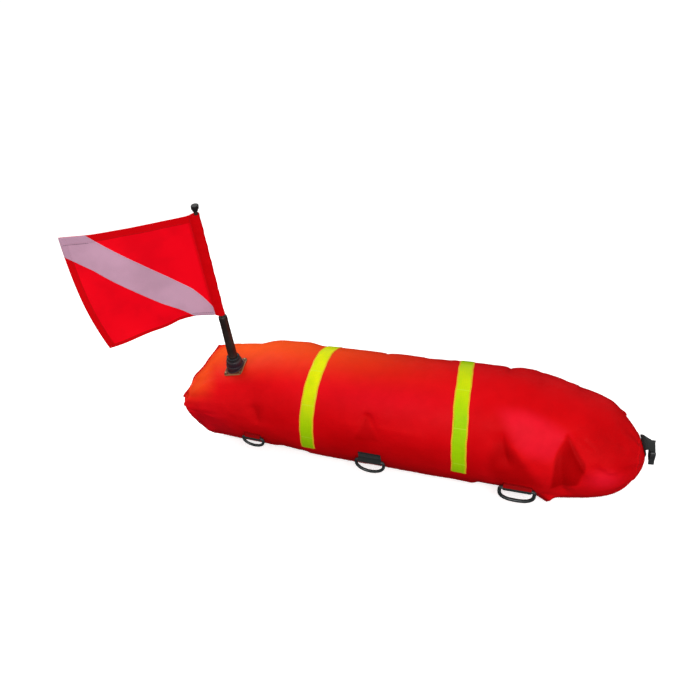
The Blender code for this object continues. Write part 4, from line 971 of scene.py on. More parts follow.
def place_of(name):
    """Where a joint stands, in the bag's frame, and which way its axis points."""
    j = JOINTS[name]
    return np.array(j["pos_m"], float) - OFF, unit(np.array(j["axis"], float))


def tube(path, radius, sides, squash=1.0, up_=(0, 1, 0)):
    """Closed tube along a closed loop of points in one plane."""
    path = np.asarray(path, float)
    T = unit(np.roll(path, -1, 0) - np.roll(path, 1, 0))
    U = np.broadcast_to(np.asarray(up_, float), T.shape)
    V = unit(np.cross(T, U))
    th_ = np.linspace(0, math.tau, sides, endpoint=False)
    return path[:, None] + radius * (np.cos(th_)[None, :, None] * V[:, None]
                                     + squash * np.sin(th_)[None, :, None] * U[:, None])


def ring_path(inner, depth, wire, square):
    """Middle line of a D-ring's wire, its bar at the origin."""
    half, rc, leg = (inner + wire) / 2, 0.0042, -0.259 * depth
    pts = [(x_, 0.0) for x_ in np.linspace(-(half - rc), half - rc, 26)]
    pts += [(half - rc + rc * math.cos(t_), -rc + rc * math.sin(t_)) for t_ in np.radians(np.linspace(80, 10, 7))]
    pts += [(half, z_) for z_ in (-0.0042, (leg - 0.0042) / 2)]
    for t_ in np.linspace(0, math.pi, 72):
        pts.append((half * math.copysign(abs(math.cos(t_)) ** square, math.cos(t_)),
                    leg - (depth + leg) * abs(math.sin(t_)) ** (0.9 * square)))
    pts += [(-half, z_) for z_ in ((leg - 0.0042) / 2, -0.0042)]
    pts += [(-(half - rc) - rc * math.cos(t_), -rc + rc * math.sin(t_)) for t_ in np.radians(np.linspace(10, 80, 7))]
    pts = np.array(pts)
    for _ in range(3):
        pts[33:-8] = (0.25 * np.roll(pts, 1, 0) + 0.5 * pts + 0.25 * np.roll(pts, -1, 0))[33:-8]
    return np.stack([pts[:, 0], 0 * pts[:, 0], pts[:, 1]], -1)


for side, rx, drop, sewn, inner, depth, wire in RING_SPOTS:
    ring3 = ring_path(inner, depth, wire, 0.82 if side == "right" else 1.0)
    spot, axis = place_of("ring_swing_" + side)
    turn = math.atan2(-axis[1], -axis[0])
    rot_z = np.array(Matrix.Rotation(turn, 3, "Z"))
    P = tube(ring3, wire / 2, 20)
    P = P @ rot_z.T + spot
    arc = np.concatenate([[0], np.cumsum(np.linalg.norm(np.diff(ring3, axis=0), axis=1))])
    uv = np.stack(np.broadcast_arrays(arc[:, None], (np.arange(20) * 0.00094)[None]), -1)
    make("ring_" + side, grid_mesh("ring_" + side, P + OFF, uv, loop=True, ring=True), m_ring,
         "ring_" + side, ("d_ring_" + side,), 60)
    # webbing: up the bag, round the bar, back over itself
    d = np.array((math.cos(turn), math.sin(turn), 0.0))
    cols = np.concatenate([[-0.5, -0.497, -0.49, -0.475, -0.45], np.linspace(-0.42, 0.42, 25),
                           [0.45, 0.475, 0.49, 0.497, 0.5]]) * (inner - 2 * TAB_SIDE)
    thick = TAB_T * np.clip(0.30 + 0.72 * (1 - np.abs(cols / cols[-1]) ** 22), 0.3, 1.0)
    a0 = math.radians(-drop)
    wrap = wire / 2 + GAP + TAB_T / 2
    r_here = float(section(np.array(rx))[3])
    top_a = a0 + sewn / r_here
    n0 = normal_of(base, np.array([rx]), np.array([a0]))[0]
    start = math.atan2(-n0[2], -n0[1])
    path_c, dirs = [], []
    rise_in = np.linspace(top_a, a0, 12)[:-1]
    mids = []
    for a_ in rise_in:
        mids.append(("bag", a_, GAP + TAB_T / 2))
    for t_ in np.radians(np.linspace(0, 240, 30)):
        mids.append(("bar", start - t_, wrap))
    for rise in np.linspace(0.0070, sewn - 0.0003, 12):
        mids.append(("bag", a0 + rise / r_here, GAP + TAB_T * 1.5 + GAP))
    rows_p = []
    for kind, a_, h in mids:
        if kind == "bag":
            pts = surf(rx + cols * d[0], np.full(len(cols), a_), np.full(len(cols), h))
        else:
            c0 = spot[None] + cols[:, None] * d[None]
            perp = np.array((-d[1], d[0], 0.0))          # across the bar, level
            pts = c0 + h * (math.cos(a_) * perp[None] + math.sin(a_) * np.array((0, 0, 1.0))[None])
        rows_p.append(pts)
    M = np.stack(rows_p)                                 # along the strap, across it
    T = np.gradient(M, axis=0)
    C = np.gradient(M, axis=1)
    N = unit(np.cross(T, C))
    wv = 1 + 0.10 * np.sin(np.arange(len(M)) * 2.2)[:, None]
    a_side = M + N * (thick / 2)[None, :, None]
    b_side = M - N * (thick / 2)[None, :, None]
    loop_ = np.concatenate([a_side, b_side[:, ::-1]], 1)
    arc = np.concatenate([[0], np.cumsum(np.linalg.norm(np.diff(M[:, 17], axis=0), axis=1))])
    across = np.concatenate([cols, cols[::-1] + 0.05])
    uv = np.stack(np.broadcast_arrays(across[None], arc[:, None]), -1)
    uv = np.concatenate([uv, uv[:, :1]], 1)
    mat_tab = m_web_black if side == "middle" else m_web_red
    tab = make("tab_" + side, grid_mesh("tab_" + side, loop_ + OFF, uv, loop=True, caps=(True, True)), mat_tab,
               "float_body", ("ring_tab_" + side,), 60)
    if side != "middle":                  # black where it goes round the bar
        tab.data.materials.append(m_web_black)
        for face in tab.data.polygons:
            if face.center[2] < spot[2] + OFF[2] + 0.0046:
                face.material_index = 1
    rows = []
    lift_s = GAP + TAB_T * 2 + GAP + 0.00002
    reach = inner / 2 - TAB_SIDE - 0.0026
    spans = ([(sewn - 0.0018), (0.0078)] if side == "middle" else [(sewn - 0.0012)])
    for rise in spans:
        xx = np.linspace(rx - reach, rx + reach, 120)
        rows.append(on_bag(xx, np.full(120, a0 + rise / r_here), lift_s))
    if side == "middle":
        for sx in (-1, 1):
            rr_ = np.linspace(0.0078, sewn - 0.0018, 30)
            rows.append(on_bag(np.full(30, rx + sx * reach), a0 + rr_ / r_here, lift_s))
    stitches("tab_%s_stitching" % side, rows, m_thread_black if side == "middle" else m_thread_red,
             "float_body", 0.0028, 0.0021, 0.00024)

# ------------------------------------------------------------------ pole socket
POLE_Z = float(top_height(POLE_X, POLE_Y))
BOSS_TOP, BORE_FLOOR = POLE_Z + 0.0205, POLE_Z + 0.0035
FL, FT, LIFT = 0.0180, 0.0024, GAP
n_s = 120
th_ = np.linspace(0, math.tau, n_s, endpoint=False)


def squircle(r, t, k=7.0):
    c, s = np.cos(t), np.sin(t)
    q = r / (np.abs(c) ** k + np.abs(s) ** k) ** (1 / k)
    return q * c, q * s


rings_ = []
for f_, lift in ((0.10, LIFT), (0.55, LIFT), (0.93, LIFT), (0.985, LIFT + 0.0003), (1.0, LIFT + 0.0009),
                 (1.0, LIFT + FT - 0.0010), (0.985, LIFT + FT - 0.0003), (0.955, LIFT + FT),
                 (0.90, LIFT + FT + 0.00005), (0.885, LIFT + FT - 0.00035), (0.87, LIFT + FT + 0.00005)):
    x_, y_ = squircle(FL * f_, th_)
    rings_.append(np.stack([POLE_X + x_, POLE_Y + y_, top_height(POLE_X + x_, POLE_Y + y_, lift)], -1))
inner_top = []
for t_ in np.linspace(0, 1, 7):                      # from the flange's square to the boss's round foot
    sx, sy = squircle(FL * 0.87, th_)
    cx_, cy_ = 0.0158 * np.cos(th_), 0.0158 * np.sin(th_)
    x_, y_ = sx * (1 - t_) + cx_ * t_, sy * (1 - t_) + cy_ * t_
    inner_top.append(np.stack([POLE_X + x_, POLE_Y + y_,
                               top_height(POLE_X + x_, POLE_Y + y_, LIFT + FT + 0.0001)], -1))
boss = []
for r_, z_, follow in ((0.0152, LIFT + FT + 0.0006, 1.0), (0.0147, LIFT + FT + 0.0014, 1.0),
                       (0.0146, LIFT + FT + 0.0030, 0.8), (0.0150, 0.0080, 0.25), (0.0150, 0.0092, 0.0),
                       (0.0146, 0.0099, 0.0), (0.0139, 0.0102, 0.0), (0.0137, 0.0108, 0.0),
                       (0.0138, 0.0140, 0.0), (0.0135, 0.0168, 0.0), (0.0129, 0.0188, 0.0),
                       (0.0122, 0.0199, 0.0), (0.0114, 0.0205, 0.0), (0.0092, 0.0205, 0.0),
                       (0.0084, 0.0202, 0.0), (0.0082, 0.0195, 0.0), (0.0082, 0.0038, 0.0),
                       (0.0079, 0.0035, 0.0), (0.0030, 0.0035, 0.0)):
    grip = 1.0
    if 0.0100 < z_ < 0.0172 and r_ > 0.0120:
        grip = 1 - 0.030 * np.clip(np.cos(th_ * 18), 0, 1) ** 2
    x_, y_ = POLE_X + r_ * grip * np.cos(th_), POLE_Y + r_ * grip * np.sin(th_)
    z = (top_height(x_, y_) * follow + POLE_Z * (1 - follow)) + z_
    boss.append(np.stack([x_, y_, z], -1))
P = np.concatenate([np.stack(rings_), np.stack(inner_top), np.stack(boss)], 0)
uv = np.stack(np.broadcast_arrays((th_ * 0.015)[None], np.arange(len(P))[:, None] * 0.001), -1)
make("socket", grid_mesh("socket", P + OFF, uv, loop=True, caps=(True, True)), m_socket, "float_body",
     ("pole_socket",), 40)


def collar_shape(R, Z, th):
    notch = 0.5 + 0.5 * np.cos(th * 14)
    k = (R > 0.0100) * (Z > 0.0008) * (Z < 0.0056)
    return R * (1 - 0.055 * k * notch ** 4), Z


COLLAR_Z = BOSS_TOP + GAP
lathe("collar", [(0.0083, 0.0), (0.0106, 0.0), (0.0112, 0.0006), (0.0112, 0.0030), (0.0112, 0.0050),
                 (0.0100, 0.0062), (0.0083, 0.0062)], 168, m_collar, "collar",
      ("socket_collar",), Matrix.Translation((POLE_X, POLE_Y, COLLAR_Z)), 0.0004, collar_shape)

for k in range(4):
    node = "socket_rivet_%d" % (k + 1)
    lo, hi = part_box(node)
    cx_, cy_ = (lo[0] + hi[0]) / 2 - OFF[0], (lo[1] + hi[1]) / 2 - OFF[1]
    z1, z0 = hi[2] - OFF[2], lo[2] - OFF[2]
    lathe("rivet_%d" % (k + 1),
          [(0.0, z1), (0.0009, z1 - 0.00006), (0.0017, z1 - 0.0003), (0.0023, z1 - 0.0007),
           (0.0026, z1 - 0.0013), (0.0014, z1 - 0.0013), (0.0014, z0 + 0.0008), (0.0024, z0 + 0.0008),
           (0.0024, z0), (0.0, z0)], 32, m_steel, "float_body", (node,),
          Matrix.Translation((cx_, cy_, 0.0)), 0.00015)

# ------------------------------------------------------------------ pole
TUBE_Z0, TUBE_Z1 = BORE_FLOOR + GAP, FLAG_Z0 - 0.0030
at_pole = Matrix.Translation((POLE_X, POLE_Y, TUBE_Z0))
z_a, z_top = 0.0024 + GAP, TUBE_Z1 - TUBE_Z0
step_z = BOSS_TOP + 0.0062 + 0.004 - TUBE_Z0
lathe("lower_pole", [(0.0053, z_a), (0.0078, z_a), (0.0078, step_z - 0.0040), (0.0083, step_z - 0.0032),
                     (0.0083, step_z - 0.0002), (0.0079, step_z + 0.0006), (0.0072, z_top - 0.0130),
                     (0.0074, z_top - 0.0115), (0.0074, z_top - 0.0040), (0.0068, z_top - 0.0015),
                     (0.0056, z_top), (0.0042, z_top), (0.0042, z_top - 0.0180), (0.0053, z_top - 0.0200)],
      64, m_pole, "pole", ("pole_tube",), at_pole, 0.0005)
rod_z1 = FLAG_Z0 + FLAG_H + 0.0085 - TUBE_Z0
lathe("upper_rod", [(0.0, z_top - 0.0170), (0.0026, z_top - 0.0170), (0.0030, z_top - 0.0164),
                    (0.0030, rod_z1), (0.0, rod_z1)], 40, m_pole, "pole", ("flag_rod",),
      at_pole, 0.0003)
cap_z = FLAG_Z0 + FLAG_H + 0.0052 - TUBE_Z0


def cap_shape(R, Z, th):
    k = (R > 0.0050) * (Z < cap_z + 0.0080)
    askew = np.clip((Z - cap_z - 0.0010) / 0.008, 0.0, 1.0) * (R > 0.0036)
    return R * (1 - 0.045 * k * (0.5 + 0.5 * np.cos(8 * th)) ** 3 + 0.20 * askew * np.cos(th - 0.256)), Z


lathe("top_cap", [(0.0033, cap_z), (0.0040, cap_z), (0.0042, cap_z + 0.0014), (0.0056, cap_z + 0.0034),
                  (0.0058, cap_z + 0.0086), (0.0053, cap_z + 0.0092), (0.0, cap_z + 0.0092),
                  (0.0, cap_z + 0.0036), (0.0033, cap_z + 0.0036)], 96, m_cap, "pole", ("rod_end_cap",), at_pole,
      0.0004, cap_shape)
for node, mat in (("pole_foot_plug", m_rubber), ("rod_ferrule", m_ferrule), ("air_bladder", m_film),
                  ("socket_backing_plate", m_black), ("valve_lock_nut", m_black)):
    obj = frame["nodes"][node]
    obj.data.materials.clear()
    obj.data.materials.append(mat)

# ------------------------------------------------------------------ flag
HEM_TOP, HEM_LOW, HEM_FLY, SLEEVE_W = 0.0120, 0.0060, 0.0105, 0.0050


def flag_len(v):
    return 0.1840 + (0.1965 - 0.1840) * v + 0.0288 * v * (1 - v)


def flag_point(u, v):
    """Middle of the cloth: u from the rod to the fly, v from below to the top."""
    u, v = np.broadcast_arrays(np.asarray(u, float), np.asarray(v, float))
    psi = np.radians(34.0 + (27.0 - 34.0) * v)
    r = SLEEVE_R + (flag_len(v) - SLEEVE_R) * u
    bow = 0.0075 * np.sin(math.pi * u) * (0.6 + 0.4 * v)
    droop = 0.0065 * u * u * (1 - v) + 0.0085 * np.sin(math.pi * u) * v
    droop = droop - 0.0105 * np.exp(-(np.abs(u - 0.25) / 0.17) ** 2.4) * np.clip(1 - v, 0, 1.1) ** 1.5
    free = step(u, 0.04, 0.30)
    wav = free * (0.0011 * np.sin(7.5 * u + 2.2 * v + 0.4) + 0.0007 * np.sin(15 * u - 5 * v + 1.0)
                  + 0.0006 * np.sin(4 * u + 9 * v))
    wav = wav + 0.0016 * np.exp(-((u - 0.99) / 0.10) ** 2) * np.sin(6.0 * v + 0.5)
    wav = wav + 0.0022 * free * np.exp(-(v / 0.10) ** 2) * np.sin(8.5 * u + 0.8)
    ax, ay = np.sin(psi), -np.cos(psi)
    x = POLE_X - r * np.cos(psi) - bow * np.sin(psi) + wav * ax
    y = POLE_Y - r * np.sin(psi) + bow * np.cos(psi) + wav * ay
    return np.stack([x, y, FLAG_Z0 + FLAG_H * v - droop], -1)


def flag_normal(u, v):
    e = 0.003
    n = unit(np.cross(flag_point(np.minimum(1, u + e), v) - flag_point(np.maximum(0, u - e), v),
                      flag_point(u, np.minimum(1, v + e)) - flag_point(u, np.maximum(0, v - e))))
    return n * np.where(n[..., 1] > 0, -1.0, 1.0)[..., None]


def hem_of(u, v):
    """1 where the cloth is folded double."""
    r = flag_len(v) * (1 - u)
    z = FLAG_H * v
    e = 0.00018
    top = step(z, FLAG_H - HEM_TOP - e, FLAG_H - HEM_TOP + e)
    low = 1 - step(z, HEM_LOW - e, HEM_LOW + e)
    fly = 1 - step(r, HEM_FLY - e, HEM_FLY + e)
    return np.maximum(np.maximum(top, low), fly)


def rows_of(edges, total, count):
    """Even steps, with closely spaced lines at each edge, and rounded ends."""
    pts = list(np.linspace(0, total, count))
    for e in edges:
        pts += [e - 0.0005, e - 0.00018, e + 0.00018, e + 0.0005]
    pts += [0.00012, 0.00035, total - 0.00012, total - 0.00035]
    pts = sorted(p for p in pts if 0 <= p <= total)
    out = [pts[0]]
    for p in pts[1:]:
        if p - out[-1] > 0.00008:
            out.append(p)
    out[-1] = total
    return np.array(out)


vs = rows_of((HEM_LOW, FLAG_H - HEM_TOP), FLAG_H, 84) / FLAG_H
us_m = rows_of((0.1965 - HEM_FLY,), 0.1965, 90)
u_cloth = (us_m[us_m > SLEEVE_W] / 0.1965)[::-1]          # fly to sleeve
V = vs[:, None]
U = np.broadcast_to(u_cloth[None], (len(vs), len(u_cloth)))
Vb = np.broadcast_to(V, U.shape)
mid_pts = flag_point(U, Vb)
mid_nrm = flag_normal(U, Vb)
hem = hem_of(U, Vb)
half_t = 0.00016 + 0.00022 * hem
edge_round = np.clip(np.minimum(np.minimum(Vb, 1 - Vb) * FLAG_H, (1 - U) * 0.19) / 0.00035, 0, 1)
half_t = half_t * np.sqrt(np.clip(0.12 + edge_round * (2 - edge_round), 0.12, 1.0))
# sleeve: the cloth leaves its stitch line, goes round the rod and comes back behind itself
us0 = u_cloth[-1]
sl_mid, sl_nrm, sl_half, sl_uv = [], [], [], []
start_p = mid_pts[:, -1]
start_n = mid_nrm[:, -1]
psi = np.radians(34.0 + (27.0 - 34.0) * vs)
out_d = np.stack([-np.cos(psi), -np.sin(psi), 0 * psi], -1)
side_d = np.stack([np.sin(psi), -np.cos(psi), 0 * psi], -1)
axis_p = np.stack([np.full(len(vs), POLE_X), np.full(len(vs), POLE_Y), FLAG_Z0 + FLAG_H * vs], -1)
rs = 0.0046 + 0.00025 * np.sin(vs * 37 + 1) + 0.00015 * np.sin(vs * 83)
ang = np.radians(np.linspace(62, 298, 26))
circ = [axis_p + (rs[:, None]) * (out_d * math.cos(t_) + side_d * math.sin(t_)) for t_ in ang]
lead_in = []
for t_ in np.linspace(0, 1, 9)[1:-1]:
    s_ = t_ * t_ * (3 - 2 * t_)
    p = start_p * (1 - t_) + circ[0] * t_
    lead_in.append(p + start_n * 0.0010 * math.sin(math.pi * t_))
back_target = start_p - start_n * 0.00062
lead_out = []
for t_ in np.linspace(0, 1, 9)[1:]:
    p = circ[-1] * (1 - t_) + back_target * t_ - start_n * 0.0009 * math.sin(math.pi * t_)
    lead_out.append(p)
tail_u = np.linspace(us0, us0 + 0.016, 5)[1:]
tail_p = [flag_point(np.full(len(vs), t_), vs) - flag_normal(np.full(len(vs), t_), vs) * 0.00062 for t_ in tail_u]
extra_cols = np.stack(lead_in + circ + lead_out + tail_p, 1)
M = np.concatenate([mid_pts, extra_cols], 1)
T = np.gradient(M, axis=1)
Zd = np.gradient(M, axis=0)
N = unit(np.cross(T, Zd))
flip = np.sign((N[:, :len(u_cloth)] * mid_nrm).sum(-1)).mean()
N = N * (1 if flip > 0 else -1)
N[:, :len(u_cloth)] = mid_nrm
H = np.concatenate([half_t, np.full((len(vs), extra_cols.shape[1]), 0.00018)], 1)
# painted shade: the sleeve and its stitch line take the darker double-cloth colour
hem_all = np.concatenate([hem, np.ones((len(vs), extra_cols.shape[1]))], 1)
hem_all[:, len(u_cloth) - 2:len(u_cloth)] = np.maximum(hem_all[:, len(u_cloth) - 2:len(u_cloth)], 0.6)
front, back_ = M + N * H[..., None], M - N * H[..., None]
loop_ = np.concatenate([front, back_[:, ::-1]], 1)
hem_loop = np.concatenate([hem_all, hem_all[:, ::-1]], 1)
cum = np.concatenate([np.zeros((len(vs), 1)), np.cumsum(np.linalg.norm(np.diff(M, axis=1), axis=-1), 1)], 1)
across = np.concatenate([cum, cum[:, ::-1] + 0.5], 1)
uv = np.stack([across, np.broadcast_to((vs * FLAG_H)[:, None], across.shape)], -1)
uv = np.concatenate([uv, uv[:, :1]], 1)
mesh = grid_mesh("flag", loop_ + OFF, uv, loop=True, caps=(True, True), attr={"hem": hem_loop})
flag = make("flag", mesh, m_flag, "flag", ("flag_cloth",), 70)

# the white diagonal, one band of cloth sewn on each face
for side, sign in (("front", 1), ("back", -1)):
    vv = rows_of((HEM_LOW, FLAG_H - HEM_TOP), FLAG_H * 0.9975, 90) / FLAG_H + 0.00125
    ua = sum(np.interp(vv + e, (0.0, 0.09, 0.199, 0.308, 0.399, 0.655, 0.863, 1.03),
                       (0.030, 0.030, 0.086, 0.156, 0.248, 0.476, 0.679, 0.842)) for e in (-0.02, 0.0, 0.02)) / 3
    ub = np.interp(vv, (0.0, 0.225, 0.463, 0.695, 0.836, 1.0), (0.211, 0.422, 0.629, 0.832, 0.9985, 0.9985))
    w = np.array([0.0, 0.002, 0.006, 0.016, 0.03] + list(np.linspace(0.06, 0.94, 30)) + [0.97, 0.984, 0.994, 0.998, 1.0])
    UU = ua[:, None] + (ub - ua)[:, None] * w[None]
    VV = np.broadcast_to(vv[:, None], UU.shape)
    p, n = flag_point(UU, VV), flag_normal(UU, VV) * sign
    hm = hem_of(UU, VV)
    rest = 0.00016 + 0.00022 * hm + 0.00004
    extra_back = 0.0011 * (1 - step(UU * 0.1965, SLEEVE_W + 0.0030, SLEEVE_W + 0.0045)) if sign < 0 else 0.0
    rim = np.clip(np.minimum(w, 1 - w)[None] * (ub - ua)[:, None] * 0.19 / 0.0006, 0, 1)
    endr = np.clip(np.minimum(vv - vv[0], vv[-1] - vv)[:, None] * FLAG_H / 0.0005, 0, 1)
    thick = 0.00006 + 0.00026 * np.sqrt(np.minimum(rim, endr))
    edge_fold = 1 - step(np.minimum(w, 1 - w)[None] * (ub - ua)[:, None] * 0.19, 0.0028, 0.0034)
    thick = thick + 0.00012 * edge_fold * np.minimum(rim, endr)
    lower = p + n * (rest + extra_back)[..., None]
    upper = lower + n * thick[..., None]
    loop_ = np.concatenate([upper, lower[:, ::-1]], 1)
    across = np.concatenate([UU * 0.19, UU[:, ::-1] * 0.19 + 0.5], 1)
    uv = np.stack([across, np.broadcast_to((vv * FLAG_H)[:, None], across.shape)], -1)
    uv = np.concatenate([uv, uv[:, :1]], 1)
    # painted shade: the stripe darker where it lies over the flag's hems
    mesh = grid_mesh("stripe_" + side, loop_ + OFF, uv, loop=True, caps=(True, True),
                     attr={"hem": np.concatenate([0.55 * hm, 0.55 * hm[:, ::-1]], 1)})
    make("stripe_" + side, mesh, m_stripe, "flag",
                        ("flag_stripe_" + side,), 70)
    rows = []
    for off_m in (0.0016,):
        for which in (0, 1):
            d_u = off_m / 0.19
            uu = (ua + d_u) if which == 0 else (ub - d_u)
            keep = vv > 0.02
            pp, nn = flag_point(uu, vv), flag_normal(uu, vv) * sign
            hm = hem_of(uu, vv)
            eb = 0.0011 * (1 - step(uu * 0.1965, SLEEVE_W + 0.0030, SLEEVE_W + 0.0045)) if sign < 0 else 0.0
            pp = pp + nn * (0.00016 + 0.00022 * hm + 0.0004 + eb)[..., None]
            rows.append((pp[keep], nn[keep]))
    stitches("stripe_%s_stitching" % side, rows, m_thread_white, "flag",
                            0.0030, 0.0022, 0.00021)

# hem and sleeve stitching, both faces
def on_flag(u, v, sign):
    n = flag_normal(u, v) * sign
    return flag_point(u, v) + n * 0.00040, n


rows = []
for sign in (1, -1):
    tt = np.linspace(0.02, 0.98, 300)
    rows.append(on_flag(np.linspace(0.10, 0.985, 300), np.full(300, 1 - (HEM_TOP - 0.0014) / FLAG_H), sign))
    rows.append(on_flag(np.linspace(0.24, 0.985, 300), np.full(300, (HEM_LOW - 0.0012) / FLAG_H), sign))
    rows.append(on_flag(1 - (HEM_FLY - 0.0013) / flag_len(tt), tt, sign))
    pts, n = on_flag((SLEEVE_W + 0.0016) / 0.1965 + 0 * tt, tt, sign)
    if sign < 0:
        pts = pts + n * 0.0005
    rows.append((pts, n))
hem_thread = stitches("flag_hem_stitching", rows, m_thread_flag, "flag", 0.0030, 0.0022, 0.00020)
for side, sign in (("front", 1), ("back", -1)):
    rows = []
    for u0, u1, v0 in ((0.045, 0.225, (HEM_LOW + 0.0004) / FLAG_H), (0.80, 0.985, 1 - (HEM_TOP + 0.0004) / FLAG_H),
                       (0.045, 0.215, 0.0016 / FLAG_H)):
        uu = np.linspace(u0, u1, 120)
        n = flag_normal(uu, np.full(120, v0)) * sign
        rows.append((flag_point(uu, np.full(120, v0)) + n * 0.00092, n))
    stitches("stripe_%s_hem_stitching" % side, rows, m_thread_grey, "flag",
                            0.0028, 0.0024, 0.00026)

# ------------------------------------------------------------------ inflation valve, far side
va = np.array([math.radians(177.0)])
spot, axis = base(np.array([VALVE_X]), va)[0], normal_of(base, np.array([VALVE_X]), va)[0]
valve = Matrix.Translation(spot) @ Vector(axis).to_track_quat("Z", "Y").to_matrix().to_4x4()


def ribs(R, Z, th):
    k = (R > 0.0078) * (Z > 0.0064) * (Z < 0.0156)
    return R * (1 - 0.05 * k * (0.5 + 0.5 * np.cos(20 * th)) ** 3), Z


lathe("valve_flange", [(0.0048, -0.0165), (0.0064, -0.0165), (0.0064, 0.0005), (0.0150, 0.0005),
                       (0.0150, 0.0012), (0.0142, 0.0020), (0.0126, 0.0021), (0.0122, 0.0018),
                       (0.0112, 0.0022), (0.0076, 0.0026), (0.0066, 0.0034), (0.0066, 0.0126),
                       (0.0060, 0.0132), (0.0048, 0.0132), (0.0048, -0.0060), (0.0022, -0.0060),
                       (0.0022, -0.0074), (0.0048, -0.0074)], 96, m_black, "float_body",
      ("valve_body",), valve, 0.0003)
lathe("mouthpiece", [(0.0, -0.0057), (0.0030, -0.0057), (0.0044, -0.0050), (0.0044, -0.0022),
                     (0.0034, -0.0016), (0.0034, 0.0100), (0.0045, 0.0106), (0.0045, 0.0135),
                     (0.0056, 0.0137), (0.0056, 0.0152), (0.0050, 0.0158), (0.0026, 0.0158),
                     (0.0026, 0.0030), (0.0, 0.0030)], 64, m_rubber, "mouthpiece",
      ("valve_mouthpiece",), valve, 0.0003)
lathe("dust_cap", [(0.0070, 0.0052), (0.0080, 0.0052), (0.0084, 0.0058), (0.0084, 0.0164),
                   (0.0074, 0.0176), (0.0050, 0.0174), (0.0044, 0.0178), (0.0, 0.0178), (0.0, 0.0162),
                   (0.0070, 0.0160)], 160, m_rubber, "cap", ("valve_cap",), valve, 0.0004, ribs)

# ------------------------------------------------------------------ tow strap and buckle
strap = Matrix.Translation((0.0, STRAP_Y, STRAP_Z)) @ Matrix.Rotation(math.radians(STRAP_ROLL), 4, "X")
ca, sa = math.cos(math.radians(STRAP_ROLL)), math.sin(math.radians(STRAP_ROLL))


def end_x(y, z, grow):
    lo, hi = 0.38, XS[-1]
    for _ in range(40):
        x = 0.5 * (lo + hi)
        top, low, wide, hf, md = [float(q) for q in section(np.array(x))]
        rise = ((top - wide) if z >= wide else (wide - low)) + grow
        if ((y - md) / (hf + grow)) ** 2 + ((z - wide) / rise) ** 2 < 1.0:
            lo = x
        else:
            hi = x
    return lo + grow


def strap_base(w, zz):
    y, z = STRAP_Y + ca * w - sa * zz, STRAP_Z + sa * w + ca * zz
    return end_x(y, z, GAP + 0.0010 + GAP + 0.0002 + 0.6 * STRAP_T)


WRAP_R = BAR_R + GAP + STRAP_T / 2
ws = np.concatenate([[-0.5, -0.495, -0.48, -0.45], np.linspace(-0.42, 0.42, 17), [0.45, 0.48, 0.495, 0.5]]) * STRAP_W
cols_p = []
for w in ws:
    low_edge = 0.0085 * max(0.0, 0.35 - w / 0.010) / 1.35
    wide_w = w * 1.22
    path = [(strap_base(wide_w, zz), zz) for zz in np.linspace(-0.0190, STRAP_RISE - low_edge, 22)]
    x0, z0, rf = path[-1][0], path[-1][1], 0.0034
    # out of the stitching, over, and straight down to the bar at this slope
    slope = math.radians(40)
    for _ in range(30):
        x1, z1 = x0 + rf * (1 + math.sin(slope)), z0 + rf * math.cos(slope)
        q = (BAR_X + WRAP_R * math.sin(slope), WRAP_R * math.cos(slope))
        slope = math.atan2(z1 - q[1], q[0] - x1)
    for t_ in np.linspace(0, math.pi / 2 + slope, 19)[1:]:
        path.append((x0 + rf * (1 - math.cos(t_)), z0 + rf * math.sin(t_)))
    x1, z1 = path[-1]
    for t_ in np.linspace(0, 1, 9)[1:-1]:
        sag = 0.0003 * math.sin(math.pi * t_)
        path.append((x1 + (q[0] - x1) * t_ - sag * math.sin(slope), z1 + (q[1] - z1) * t_ - sag * math.cos(slope)))
    for t_ in np.linspace(math.pi / 2 - slope, math.radians(-146), 34):
        path.append((BAR_X + WRAP_R * math.cos(t_), WRAP_R * math.sin(t_)))
    path += [(BAR_X - 0.0030, -0.0007), (BAR_X - 0.0036, 0.0003), (BAR_X - 0.0042, 0.0012)]
    at_bar = np.clip((np.arange(len(path)) - 24) / 22.0, 0, 1)
    cols_p.append([(a_, wide_w + (w - wide_w) * g, b_) for (a_, b_), g in zip(path, at_bar)])
M = np.array(cols_p).transpose(1, 0, 2)
N = unit(np.cross(np.gradient(M, axis=0), np.gradient(M, axis=1)))
thick = STRAP_T * np.clip(0.30 + 0.72 * (1 - np.abs(ws / (STRAP_W / 2)) ** 18), 0.3, 1.0)
loop_ = np.concatenate([M + N * (thick / 2)[None, :, None], (M - N * (thick / 2)[None, :, None])[:, ::-1]], 1)
R3, t3 = np.array(strap.to_3x3()), np.array(strap.translation)
arc = np.concatenate([[0], np.cumsum(np.linalg.norm(np.diff(M[:, 12], axis=0), axis=1))])
across = np.concatenate([ws, ws[::-1] + 0.05])
uv = np.stack(np.broadcast_arrays(across[None], arc[:, None]), -1)
uv = np.concatenate([uv, uv[:, :1]], 1)
make("strap", grid_mesh("strap", loop_ @ R3.T + t3 + OFF, uv, loop=True, caps=(True, True)), m_web_black,
     "float_body", ("tow_strap",), 60)
rows = []
front_sign = 1.0 if N[8, 12, 0] > 0 else -1.0
surf_p = M + N * front_sign * (STRAP_T / 2 + 0.00002)


def strap_line(points):
    """Line over the sewn part of the strap: (row, column) places in its grid."""
    out_p, out_n = [], []
    for r_, c_ in points:
        i0, j0 = int(r_), int(c_)
        i1, j1 = min(i0 + 1, len(M) - 1), min(j0 + 1, len(ws) - 1)
        fr, fc = r_ - i0, c_ - j0
        mix = lambda G: ((G[i0, j0] * (1 - fr) + G[i1, j0] * fr) * (1 - fc)
                         + (G[i0, j1] * (1 - fr) + G[i1, j1] * fr) * fc)
        out_p.append(mix(surf_p))
        out_n.append(mix(N) * front_sign)
    return np.array(out_p) @ R3.T + t3, np.array(out_n) @ R3.T


